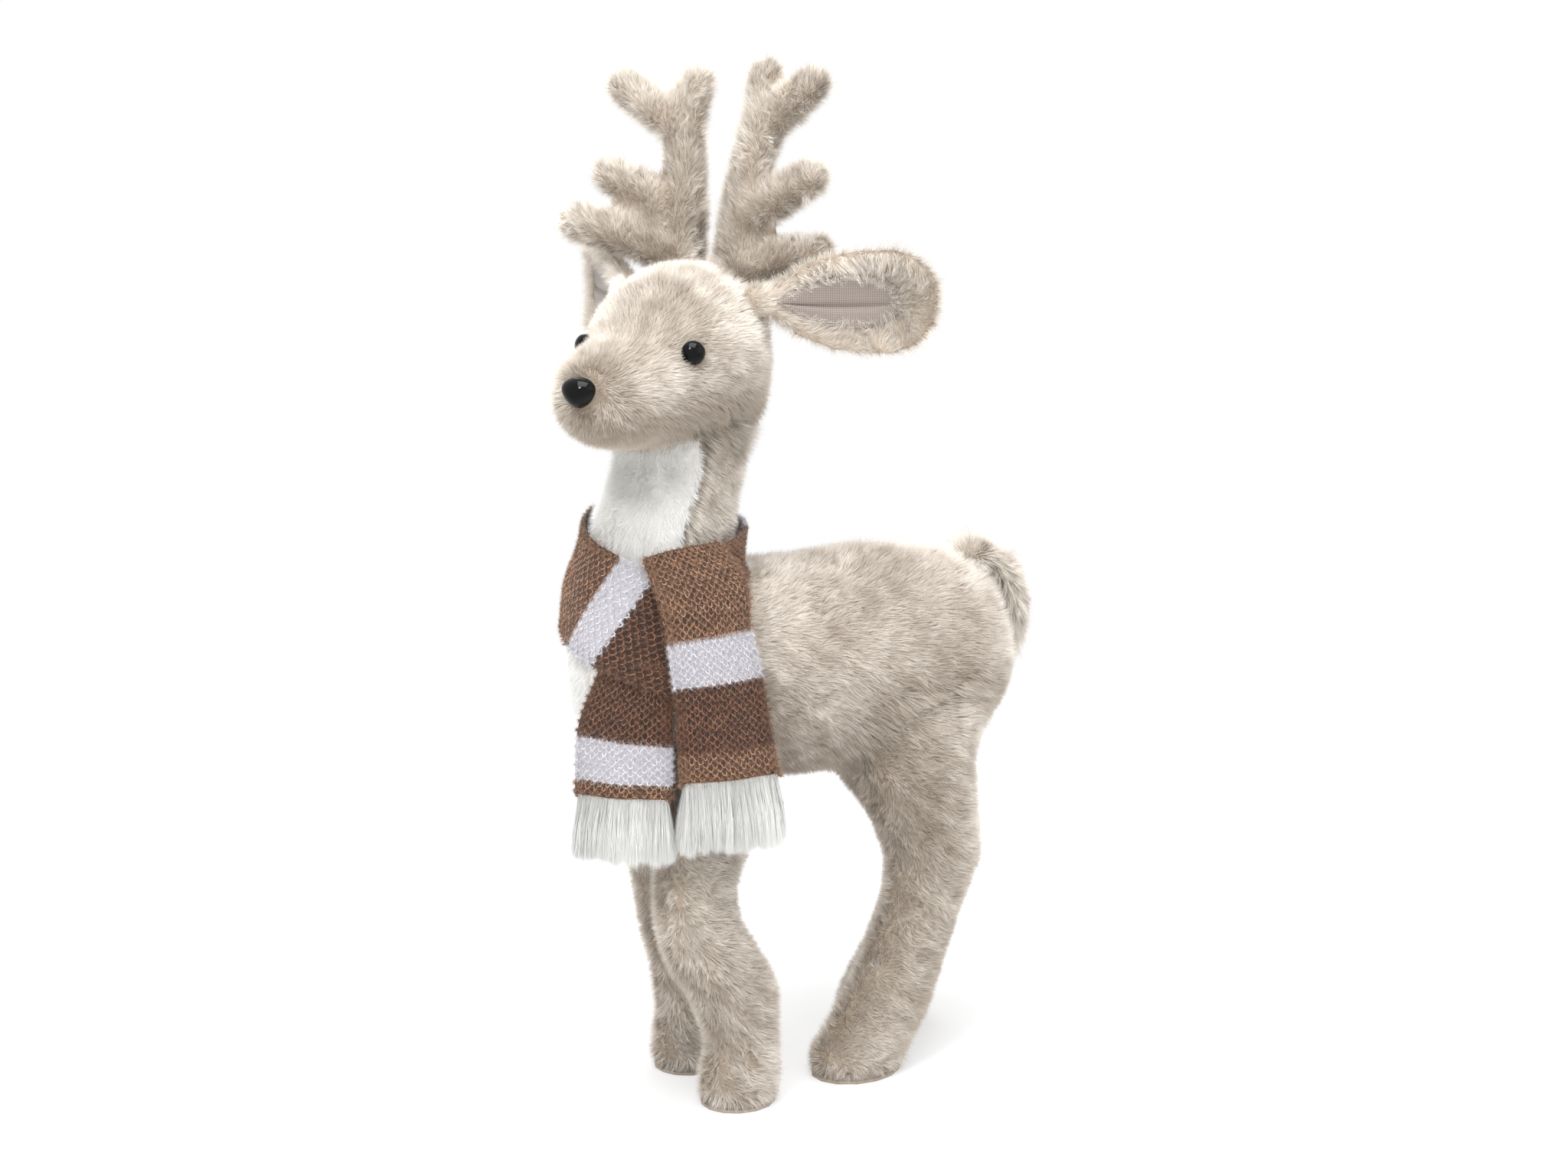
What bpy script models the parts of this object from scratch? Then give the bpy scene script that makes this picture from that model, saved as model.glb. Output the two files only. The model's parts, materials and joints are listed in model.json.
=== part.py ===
"""Standing plush deer: stuffed body on a wire frame, weighted feet and a knitted scarf.

The deer looks along -Y, its left side is +X, and the floor is z = 0.
"""

import math

import bmesh
import bpy
import numpy as np
from mathutils import Matrix, Vector
from mathutils.bvhtree import BVHTree

MM = 0.001

# Clearances and overruns shared by all pieces
SEAT_GAP = 0.35 * MM
BORE_GAP = 0.5 * MM
TURN_GAP = 1 * MM
OVERRUN = 10 * MM

# Torso
BODY_LENGTH = 340 * MM
BODY_HALF_WIDTH = 67 * MM
BODY_HALF_HEIGHT = 75.5 * MM
BODY_AXIS_HEIGHT = 287 * MM
# Place along the body, rise of the axis, half width, half height
TORSO_SHARES = (
    (-0.397, 0.27, 0.0, 0.0),
    (-0.382, 0.26, 0.33, 0.35),
    (-0.338, 0.23, 0.59, 0.63),
    (-0.235, 0.14, 0.84, 0.91),
    (-0.087, 0.04, 0.93, 0.985),
    (0.093, -0.013, 0.955, 1.0),
    (0.275, 0.026, 1.0, 0.995),
    (0.435, -0.013, 0.94, 0.88),
    (0.525, -0.09, 0.70, 0.67),
    (0.570, -0.16, 0.38, 0.36),
    (0.582, -0.18, 0.0, 0.0),
)

# Neck, measured up from the torso's axis
NECK_HEIGHT = 196 * MM
NECK_RADIUS = 43 * MM
NECK_LEAN = 23 * MM
NECK_PLACE_SHARE = -0.165
# Rise, lean forward, half depth, half width
NECK_SHARES = (
    (0.0, 1.0, 0.0, 0.0),
    (0.05, 1.0, 0.88, 0.76),
    (0.14, 0.97, 1.22, 1.08),
    (0.25, 0.92, 1.28, 1.15),
    (0.43, 0.80, 1.18, 1.04),
    (0.61, 0.40, 1.07, 1.01),
    (0.74, 0.0, 1.0, 1.0),
    (0.84, 0.0, 1.0, 1.0),
    (0.91, 0.0, 0.98, 0.98),
    (0.965, 0.0, 0.78, 0.78),
    (0.99, 0.0, 0.42, 0.42),
    (1.0, 0.0, 0.0, 0.0),
)
NECK_TOP_ROWS = 6

# White panel on the front of the neck and chest
BIB_THICKNESS = 7 * MM
BIB_PROUD = 0.8 * MM
BIB_HALF_ANGLE = math.radians(80)
BIB_NECK_LOW_SHARE = 0.30
BIB_NECK_TOP_SHARE = 0.85
BIB_CHEST_SHARE = -0.235
BIB_CHEST_TURNS = (0, 18, 36, 54, 72)

# Head, measured from the skull's centre
HEAD_LENGTH = 181 * MM
HEAD_HALF_WIDTH = 58 * MM
HEAD_HALF_HEIGHT = 58 * MM
SKULL_ABOVE_NECK = 19 * MM
HEAD_TURN = math.radians(30)
# Place forward, rise of the axis, half width, half height
HEAD_SHARES = (
    (-0.325, -0.16, 0.0, 0.0),
    (-0.308, -0.16, 0.36, 0.44),
    (-0.26, -0.16, 0.66, 0.84),
    (-0.15, -0.09, 0.91, 1.05),
    (0.0, -0.03, 1.0, 1.04),
    (0.144, -0.05, 0.94, 0.94),
    (0.259, -0.17, 0.80, 0.77),
    (0.356, -0.26, 0.68, 0.65),
    (0.448, -0.285, 0.64, 0.60),
    (0.56, -0.285, 0.56, 0.53),
    (0.63, -0.28, 0.41, 0.385),
    (0.66, -0.275, 0.20, 0.19),
    (0.667, -0.275, 0.0, 0.0),
)

# Eyes and nose, turned buttons on shanks held by washers
EYE_RADIUS = 7.5 * MM
EYE_DOME = 6 * MM
EYE_AZIMUTH = math.radians(37.5)
EYE_RISE = math.radians(6.5)
NOSE_RADIUS = 10.5 * MM
NOSE_DOME = 9 * MM
NOSE_WIDTH_SHARE = 1.12
NOSE_HEIGHT_SHARE = 0.86
NOSE_RISE = 4 * MM
SEAT_DEPTH = 2 * MM
SHANK_RADIUS = 2.2 * MM
SHANK_LENGTH = 15 * MM
WASHER_RADIUS = 7 * MM
WASHER_THICKNESS = 1.6 * MM
WASHER_DEPTH = 8 * MM

# Ears, measured from the hinge at the root
EAR_LENGTH = 117 * MM
EAR_HALF_HEIGHT = 36 * MM
EAR_HALF_THICKNESS = 5 * MM
EAR_CUP = 11 * MM
EAR_ROOT_RADIUS = 12 * MM
EAR_ROOT_PROUD = 4 * MM
EAR_AZIMUTH = math.radians(110)
EAR_RISE = math.radians(33)
EAR_SWEEPS = {"left": math.radians(35), "right": math.radians(47)}
# Place along the ear, half height, half thickness
EAR_SHARES = (
    (-0.10, 0.0, 0.0),
    (-0.085, 0.16, 1.0),
    (-0.05, 0.27, 1.7),
    (0.0, 0.31, 1.9),
    (0.06, 0.29, 1.7),
    (0.12, 0.42, 1.5),
    (0.22, 0.66, 1.35),
    (0.40, 0.89, 1.1),
    (0.58, 0.98, 1.0),
    (0.72, 0.99, 1.0),
    (0.86, 0.85, 1.0),
    (0.95, 0.56, 0.9),
    (0.985, 0.31, 0.7),
    (1.0, 0.0, 0.0),
)
EAR_ROOT_SHARE = 0.33
EAR_ACROSS_SHARES = (-1.0, -0.93, -0.65, -0.3, 0.0, 0.3, 0.65, 0.93, 1.0)
LINING_GAP = 0.6 * MM
LINING_THICKNESS = 1.6 * MM
LINING_SHARES = (
    (0.17, 0.0),
    (0.20, 0.22),
    (0.32, 0.46),
    (0.50, 0.50),
    (0.66, 0.52),
    (0.76, 0.38),
    (0.79, 0.0),
)
LINING_ACROSS_SHARES = (-1.0, -0.5, 0.0, 0.5, 1.0)

# Antlers, measured from the skull's centre
ANTLER_HEIGHT = 172 * MM
ANTLER_RADIUS = 16 * MM
# Out, back, up, radius
BEAM_SHARES = (
    (0.112, 0.20, 0.15, 1.06),
    (0.112, 0.215, 0.26, 1.04),
    (0.116, 0.24, 0.41, 1.02),
    (0.124, 0.265, 0.55, 1.0),
    (0.148, 0.305, 0.71, 0.98),
    (0.183, 0.345, 0.86, 1.08),
)
LEFT_TINE_SHARES = {
    "inner_fork": ((0.175, 0.345, 0.86, 1.0), (0.16, 0.38, 0.94, 0.95), (0.15, 0.40, 1.0, 0.88)),
    "outer_fork": ((0.20, 0.345, 0.85, 1.0), (0.29, 0.335, 0.91, 0.95), (0.385, 0.33, 0.98, 0.85)),
    "mid_tine": ((0.13, 0.26, 0.49, 1.05), (0.27, 0.255, 0.56, 0.98), (0.415, 0.25, 0.64, 0.88)),
    "low_tine": ((0.11, 0.22, 0.30, 1.0), (0.26, 0.265, 0.335, 0.95), (0.42, 0.30, 0.37, 0.80)),
}
RIGHT_TINE_SHARES = {
    "inner_fork": ((0.175, 0.345, 0.84, 1.0), (0.16, 0.38, 0.92, 0.95), (0.15, 0.40, 0.97, 0.88)),
    "outer_fork": ((0.20, 0.345, 0.83, 1.0), (0.31, 0.335, 0.89, 0.95), (0.42, 0.33, 0.96, 0.88)),
    "mid_tine": ((0.13, 0.26, 0.47, 1.10), (0.28, 0.255, 0.55, 1.04), (0.445, 0.25, 0.635, 0.88)),
    "low_tine": ((0.11, 0.22, 0.33, 1.02), (0.30, 0.19, 0.40, 1.0), (0.53, 0.14, 0.455, 0.92)),
}

# Tail, measured from its root on the rump
TAIL_DROP = 62 * MM
TAIL_REACH = 44 * MM
TAIL_HALF_WIDTH = 24 * MM
TAIL_HALF_THICKNESS = 12.5 * MM
TAIL_ROOT_RADIUS = 14 * MM
TAIL_ROOT_PLACE_SHARE = 0.485
TAIL_ROOT_RISE_SHARE = 0.66
# Place back, rise, half width, half thickness
TAIL_SHARES = (
    (0.0, 0.0, 0.55, 0.80),
    (0.38, 0.18, 0.80, 0.95),
    (0.76, -0.03, 1.0, 1.05),
    (0.98, -0.42, 0.97, 0.95),
    (1.0, -0.80, 0.75, 0.70),
)

# Legs: table rows give rise, place along the body, half depth, half width
SOLE_THICKNESS = 2 * MM
FRONT_LEG_HEIGHT = 275 * MM
FRONT_LEG_HALF_DEPTH = 35 * MM
FRONT_LEG_HALF_WIDTH = 30 * MM
FRONT_LEG_OUT = 36 * MM
FRONT_LEG_SHARES = (
    (0.0, 0.74, 0.80),
    (0.018, 0.82, 0.89),
    (0.062, 0.83, 0.88),
    (0.15, 0.73, 0.78),
    (0.27, 0.90, 0.90),
    (0.33, 0.98, 0.97),
    (0.40, 0.94, 0.94),
    (0.48, 0.83, 0.87),
    (0.56, 0.83, 0.87),
    (0.64, 0.93, 0.90),
    (0.75, 1.05, 0.92),
    (0.87, 1.02, 0.88),
    (0.96, 0.68, 0.62),
    (1.0, 0.0, 0.0),
)
FRONT_LEFT_PLACE_SHARES = (
    -0.108, -0.108, -0.104, -0.097, -0.117, -0.143, -0.175, -0.200, -0.204, -0.188, -0.176, -0.172, -0.172, -0.172)
FRONT_RIGHT_PLACE_SHARES = (
    -0.094, -0.094, -0.093, -0.095, -0.087, -0.093, -0.109, -0.130, -0.147, -0.160, -0.168, -0.172, -0.172, -0.172)
REAR_LEG_HEIGHT = 290 * MM
REAR_LEG_HALF_DEPTH = 50 * MM
REAR_LEG_HALF_WIDTH = 36 * MM
REAR_LEG_OUT = 35 * MM
REAR_LEG_SHARES = (
    (0.0, 0.66, 0.72),
    (0.018, 0.74, 0.79),
    (0.055, 0.76, 0.78),
    (0.11, 0.74, 0.75),
    (0.19, 0.70, 0.71),
    (0.26, 0.66, 0.68),
    (0.34, 0.61, 0.67),
    (0.415, 0.65, 0.72),
    (0.49, 0.73, 0.78),
    (0.595, 0.80, 0.88),
    (0.72, 0.95, 0.98),
    (0.83, 1.0, 0.97),
    (0.94, 0.72, 0.70),
    (1.0, 0.0, 0.0),
)
REAR_LEFT_PLACE_SHARES = (
    0.174, 0.178, 0.188, 0.222, 0.259, 0.288, 0.318, 0.344, 0.362, 0.338, 0.306, 0.300, 0.300, 0.300)
REAR_RIGHT_PLACE_SHARES = (
    0.378, 0.380, 0.385, 0.405, 0.442, 0.468, 0.488, 0.495, 0.480, 0.420, 0.365, 0.335, 0.315, 0.310)
WEIGHT_RADIUS = 15 * MM
WEIGHT_HEIGHT = 7 * MM

# Wire frame
LEG_WIRE_RADIUS = 1.6 * MM
SPINE_WIRE_RADIUS = 2 * MM
LEG_WIRE_TOP_OUT = 7 * MM
SPINE_RUMP_SHARE = 0.45
SPINE_CORNER_RADIUS = 25 * MM

# Scarf
SCARF_HALF_WIDTH = 28 * MM
SCARF_THICKNESS = 6 * MM
SCARF_STAND_OFF = 4.5 * MM
# Degrees round the neck from the front to the deer's left, rise on the neck, half width, stand-off
LOOP_SHARES = (
    (80, 0.365, 0.80, 1.0),
    (100, 0.38, 0.86, 1.0),
    (130, 0.375, 0.70, 1.0),
    (180, 0.41, 0.55, 1.0),
    (230, 0.43, 0.66, 1.0),
    (270, 0.45, 0.88, 1.0),
    (300, 0.445, 1.0, 1.0),
    (325, 0.415, 1.03, 1.0),
    (350, 0.365, 1.08, 1.0),
    (375, 0.315, 1.10, 1.25),
    (400, 0.265, 1.06, 1.5),
    (416, 0.235, 0.95, 1.7),
)
PANEL_BOW = 5 * MM
TRIM_THICKNESS = 11 * MM
TRIM_LENGTH = 48 * MM
PANEL_ACROSS_SHARES = (0.0, 0.035, 0.25, 0.5, 0.75, 0.965, 1.0)
# Edges of the hanging ends as out, forward and height, in body half widths, body lengths and neck heights
LEFT_END_FRONT_SHARES = (
    (0.673, 0.316, 0.435),
    (0.83, 0.317, 0.375),
    (0.965, 0.312, 0.295),
    (1.015, 0.300, 0.075),
    (1.04, 0.294, -0.09),
    (1.06, 0.292, -0.24),
)
LEFT_END_BACK_SHARES = (
    (0.792, 0.165, 0.500),
    (0.97, 0.150, 0.365),
    (1.05, 0.135, 0.220),
    (1.09, 0.116, 0.075),
    (1.12, 0.100, -0.115),
    (1.14, 0.084, -0.25),
)
RIGHT_END_FRONT_SHARES = (
    (0.224, 0.4115, 0.167),
    (0.23, 0.422, 0.055),
    (0.225, 0.426, -0.12),
    (0.225, 0.426, -0.27),
)
RIGHT_END_BACK_SHARES = (
    (0.786, 0.3205, 0.113),
    (0.845, 0.326, 0.0),
    (0.875, 0.326, -0.12),
    (0.865, 0.328, -0.285),
)

# Counts
TORSO_SIDES = 22
LIMB_SIDES = 14
HEAD_SIDES = 20
ANTLER_SIDES = 8
TURNED_SIDES = 12
WIRE_SIDES = 6
END_STEPS = 3
DOME_STEPS = 4
BIB_NECK_ROWS = 6
BIB_ARC_POINTS = 9
CORNER_POINTS = 5
SHARP_ANGLE = math.radians(40)
TINY = 1e-7
FULL_TURN = 2 * math.pi

for old in list(bpy.data.objects):
    bpy.data.objects.remove(old, do_unlink=True)


def material(name, colour, roughness, metallic=0.0):
    finish = bpy.data.materials.new(name)
    finish.use_nodes = True
    shader = finish.node_tree.nodes["Principled BSDF"]
    shader.inputs["Base Color"].default_value = (*colour, 1)
    shader.inputs["Roughness"].default_value = roughness
    shader.inputs["Metallic"].default_value = metallic
    finish.diffuse_color = (*colour, 1)
    return finish


FUR = material("tan_plush", (0.58, 0.50, 0.41), 0.95)
WHITE = material("white_plush", (0.88, 0.86, 0.82), 0.95)
LINING = material("woven_lining", (0.38, 0.32, 0.27), 0.8)
BLACK = material("black_plastic", (0.01, 0.01, 0.01), 0.15)
NYLON = material("washer_nylon", (0.75, 0.75, 0.72), 0.5)
STEEL = material("steel", (0.55, 0.55, 0.56), 0.35, 1.0)
KNIT = material("brown_knit", (0.17, 0.085, 0.045), 0.9)


def empty(name, parent=None, place=(0, 0, 0), turn=0.0):
    point = bpy.data.objects.new(name, None)
    bpy.context.scene.collection.objects.link(point)
    point.parent = parent
    point.location = place
    point.rotation_euler = (0, 0, turn)
    return point


def add(name, mesh, finish, parent, place=(0, 0, 0)):
    mesh.materials.clear()
    mesh.materials.append(finish)
    piece = bpy.data.objects.new(name, mesh)
    bpy.context.scene.collection.objects.link(piece)
    piece.parent = parent
    piece.location = place
    return piece


def cutter(name, mesh, parent, place=(0, 0, 0)):
    piece = bpy.data.objects.new(name, mesh)
    bpy.context.scene.collection.objects.link(piece)
    piece.parent = parent
    piece.location = place
    piece.hide_render = True
    piece.display_type = "WIRE"
    return piece


def boolean(piece, tool, operation="DIFFERENCE"):
    step = piece.modifiers.new(tool.name, "BOOLEAN")
    step.operation = operation
    step.solver = "EXACT"
    step.object = tool


def smooth(rows, per_span):
    """A Catmull-Rom curve through a table's rows, with per_span steps between each two."""
    table = np.array(rows, float)
    held = np.vstack((2 * table[0] - table[1], table, 2 * table[-1] - table[-2]))
    curve = []
    for first in range(len(table) - 1):
        a, b, c, d = held[first:first + 4]
        for t in np.arange(per_span) / per_span:
            cubic = (3 * b - a - 3 * c + d) * t ** 3
            curve.append((2 * b + (c - a) * t + (2 * a - 5 * b + 4 * c - d) * t ** 2 + cubic) / 2)
    curve.append(table[-1])
    return np.array(curve)


def ellipse(centre, side, up, half_side, half_up, count):
    angle = FULL_TURN * np.arange(count) / count
    across = half_side * np.cos(angle)[:, None] * np.array(side, float)
    return np.array(centre, float) + across + half_up * np.sin(angle)[:, None] * np.array(up, float)


def loft(name, rings, mirrored=False, closed=False):
    """A closed mesh over rings of points, where a ring drawn in to one point is a pole.

    With closed set, the last ring joins the first, as in a washer.
    """
    build = bmesh.new()
    flip = np.array((-1, 1, 1) if mirrored else (1, 1, 1))
    layers = []
    for ring in rings:
        points = np.array(ring) * flip
        if np.ptp(points, axis=0).max() < TINY:
            points = points[:1]
        layers.append([build.verts.new(point) for point in points])
    pairs = list(zip(layers, layers[1:]))
    if closed:
        pairs.append((layers[-1], layers[0]))
    for low, high in pairs:
        count = max(len(low), len(high))
        for here in range(count):
            there = (here + 1) % count
            corners = [low[here % len(low)], low[there % len(low)]]
            corners += [high[there % len(high)], high[here % len(high)]]
            build.faces.new(list(dict.fromkeys(corners)))
    for layer in () if closed else (layers[0], layers[-1]):
        if len(layer) > 2:
            build.faces.new(layer)
    return finished(name, build)


def finished(name, build):
    bmesh.ops.recalc_face_normals(build, faces=build.faces)
    if build.calc_volume(signed=True) < 0:
        bmesh.ops.reverse_faces(build, faces=build.faces)
    mesh = bpy.data.meshes.new(name)
    build.to_mesh(mesh)
    build.free()
    mesh.shade_smooth()
    return mesh


def tube_rings(path, half_side, half_up, first_side, count):
    """Rings square to a path, whose side direction is carried along without a twist."""
    steps = np.gradient(np.array(path), axis=0)
    steps /= np.linalg.norm(steps, axis=1)[:, None]
    side = np.array(first_side, float)
    rings = []
    for centre, along, wide, thick in zip(path, steps, half_side, half_up):
        side = side - along * (side @ along)
        side /= np.linalg.norm(side)
        rings.append(ellipse(centre, side, np.cross(along, side), wide, thick, count))
    return rings


def wire(name, path, radius, count=WIRE_SIDES, mirrored=False):
    radii = np.full(len(path), radius)
    return loft(name, tube_rings(path, radii, radii, (1, 0, 0), count), mirrored)


def turned(name, profile, closed=False, sides=TURNED_SIDES):
    """A body of revolution about Z from radius and height pairs."""
    rings = [ellipse((0, 0, z), (1, 0, 0), (0, 1, 0), r, r, sides) for r, z in profile]
    return loft(name, rings, closed=closed)


def aimed(mesh, direction, up=(0, 0, 1)):
    """Turn a mesh's Z axis to a direction, with its Y axis towards up."""
    z = Vector(direction).normalized()
    x = Vector(up).cross(z).normalized()
    y = z.cross(x)
    mesh.transform(Matrix((x, y, z)).transposed().to_4x4())
    return mesh


WHOLE = empty("deer")


def torso_rows(grow=0.0):
    rows = np.array(TORSO_SHARES)
    y = rows[:, 0] * BODY_LENGTH
    z = BODY_AXIS_HEIGHT + rows[:, 1] * BODY_HALF_HEIGHT
    wide = rows[:, 2] * BODY_HALF_WIDTH
    high = rows[:, 3] * BODY_HALF_HEIGHT
    inside = wide > TINY
    y[0] -= grow
    y[-1] += grow
    return y, z, np.where(inside, wide + grow, 0.0), np.where(inside, high + grow, 0.0)


def torso_mesh(name, grow=0.0):
    rings = [ellipse((0, y, z), (1, 0, 0), (0, 0, 1), wide, high, TORSO_SIDES)
             for y, z, wide, high in zip(*torso_rows(grow))]
    return loft(name, rings)


NECK_AXIS_Y = NECK_PLACE_SHARE * BODY_LENGTH


def neck_rows(grow=0.0):
    rows = np.array(NECK_SHARES)
    z = BODY_AXIS_HEIGHT + rows[:, 0] * NECK_HEIGHT
    y = NECK_AXIS_Y - rows[:, 1] * NECK_LEAN
    deep = rows[:, 2] * NECK_RADIUS
    wide = rows[:, 3] * NECK_RADIUS
    inside = wide > TINY
    z[0] -= grow
    z[-1] += grow
    return z, y, np.where(inside, deep + grow, 0.0), np.where(inside, wide + grow, 0.0)


def neck_mesh(name, grow=0.0):
    rings = [ellipse((0, y, z), (1, 0, 0), (0, 1, 0), wide, deep, LIMB_SIDES)
             for z, y, deep, wide in zip(*neck_rows(grow))]
    return loft(name, rings)


def neck_at(height):
    """The neck's centre, half depth and half width at a height."""
    z, y, deep, wide = neck_rows()
    return np.interp(height, z, y), np.interp(height, z, deep), np.interp(height, z, wide)


def bib_rings(grow, clear=0.0):
    """Crescents down the front of the neck and round under the chest, with clear added outside."""
    stations = []
    low = BODY_AXIS_HEIGHT + BIB_NECK_LOW_SHARE * NECK_HEIGHT
    high = BODY_AXIS_HEIGHT + BIB_NECK_TOP_SHARE * NECK_HEIGHT + grow
    for height in np.linspace(high, low, BIB_NECK_ROWS):
        y, deep, wide = neck_at(height)
        stations.append((y, height, 0.0, deep, wide))
    y, z, wide, tall = torso_rows()
    chest_y = BIB_CHEST_SHARE * BODY_LENGTH
    chest_z = np.interp(chest_y, y, z)
    chest_wide = np.interp(chest_y, y, wide)
    reach_tall = np.interp(chest_y, y, tall)
    reach_front = chest_y - y[0]
    for degrees in BIB_CHEST_TURNS:
        turn = math.radians(degrees) + (2 * grow / reach_front if degrees == BIB_CHEST_TURNS[-1] else 0.0)
        flat, drop = math.cos(turn) / reach_front, math.sin(turn) / reach_tall
        reach = 1 / math.hypot(flat, drop)
        stations.append((chest_y, chest_z, turn, reach, chest_wide))
    outer = BIB_PROUD + grow + clear
    inner = -BIB_THICKNESS - grow
    spread = BIB_HALF_ANGLE + 2 * grow / NECK_RADIUS
    angles = np.linspace(-spread, spread, BIB_ARC_POINTS)
    rings = []
    for y, z, turn, deep, wide in stations:
        ahead = np.array((0, -math.cos(turn), -math.sin(turn)))
        arcs = []
        for offset, order in ((outer, angles), (inner, angles[::-1])):
            forward = ((deep + offset) * np.cos(order))[:, None] * ahead
            sideways = ((wide + offset) * np.sin(order))[:, None] * np.array((1, 0, 0))
            arcs.append(np.array((0, y, z)) + forward + sideways)
        rings.append(np.vstack(arcs))
    return rings


torso = add("torso", torso_mesh("torso"), FUR, WHOLE)
torso_cut = cutter("torso_cut", torso_mesh("torso_cut", SEAT_GAP), WHOLE)
neck = add("neck", neck_mesh("neck"), FUR, WHOLE)
neck_cut = cutter("neck_cut", neck_mesh("neck_cut", SEAT_GAP), WHOLE)
bib = add("chest_bib", loft("chest_bib", bib_rings(0.0)), WHITE, WHOLE)
bib_cut = cutter("bib_cut", loft("bib_cut", bib_rings(SEAT_GAP)), WHOLE)
bib_recess = cutter("bib_recess", loft("bib_recess", bib_rings(2 * SEAT_GAP, BIB_THICKNESS)), WHOLE)
boolean(neck, torso_cut)
boolean(neck, bib_recess)
boolean(torso, bib_recess)


# Tail, on a rounded root that lifts in the rump
tail_root_y = TAIL_ROOT_PLACE_SHARE * BODY_LENGTH
tail_root_z = BODY_AXIS_HEIGHT + TAIL_ROOT_RISE_SHARE * BODY_HALF_HEIGHT
TAIL_HINGE = empty("tail_hinge", WHOLE, (0, tail_root_y, tail_root_z))


def tail_mesh():
    rows = np.array(TAIL_SHARES)
    path = np.zeros((len(rows), 3))
    path[:, 1] = rows[:, 0] * TAIL_REACH
    path[:, 2] = rows[:, 1] * TAIL_DROP
    wide = rows[:, 2] * TAIL_HALF_WIDTH
    thick = rows[:, 3] * TAIL_HALF_THICKNESS
    rings = tube_rings(path, wide, thick, (1, 0, 0), LIMB_SIDES)
    return rounded(rings, path, wide, thick)


def rounded(rings, path, wide, thick):
    """Close both ends of a run of rings with domes as deep as the ring is thick."""
    first = dome(rings[0], path[0], path[0] - path[1], min(wide[0], thick[0]))
    last = dome(rings[-1], path[-1], path[-1] - path[-2], min(wide[-1], thick[-1]))
    return first[::-1] + rings + last


def dome(ring, centre, way, depth):
    way = way / np.linalg.norm(way)
    out = []
    for step in range(1, END_STEPS + 1):
        turn = math.pi / 2 * step / END_STEPS
        drawn = math.cos(turn) if step < END_STEPS else 0.0
        out.append(centre + way * depth * math.sin(turn) + (ring - centre) * drawn)
    return out


def ball(name, radius):
    steps = 2 * END_STEPS + 2
    turns = np.linspace(-math.pi / 2, math.pi / 2, steps)
    profile = [(radius * math.cos(turn), radius * math.sin(turn)) for turn in turns]
    profile[0] = (0.0, -radius)
    profile[-1] = (0.0, radius)
    return turned(name, profile)


tail = add("tail", loft("tail", tail_mesh()), FUR, TAIL_HINGE)
tail_socket = cutter("tail_socket", ball("tail_socket", TAIL_ROOT_RADIUS + TURN_GAP), TAIL_HINGE)
boolean(torso, tail_socket)

# Legs with their soles, weights and wires
FRONT = dict(name="front", height=FRONT_LEG_HEIGHT, deep=FRONT_LEG_HALF_DEPTH, wide=FRONT_LEG_HALF_WIDTH,
             out=FRONT_LEG_OUT, shares=FRONT_LEG_SHARES,
             left=FRONT_LEFT_PLACE_SHARES, right=FRONT_RIGHT_PLACE_SHARES)
REAR = dict(name="rear", height=REAR_LEG_HEIGHT, deep=REAR_LEG_HALF_DEPTH, wide=REAR_LEG_HALF_WIDTH,
            out=REAR_LEG_OUT, shares=REAR_LEG_SHARES,
            left=REAR_LEFT_PLACE_SHARES, right=REAR_RIGHT_PLACE_SHARES)


def leg_rows(leg, side):
    table = [(rise, place, deep, wide) for (rise, deep, wide), place in zip(leg["shares"], leg[side])]
    rows = np.array(table)
    z = SOLE_THICKNESS + SEAT_GAP + rows[:, 0] * leg["height"]
    return z, rows[:, 1] * BODY_LENGTH, rows[:, 2] * leg["deep"], rows[:, 3] * leg["wide"]


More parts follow.
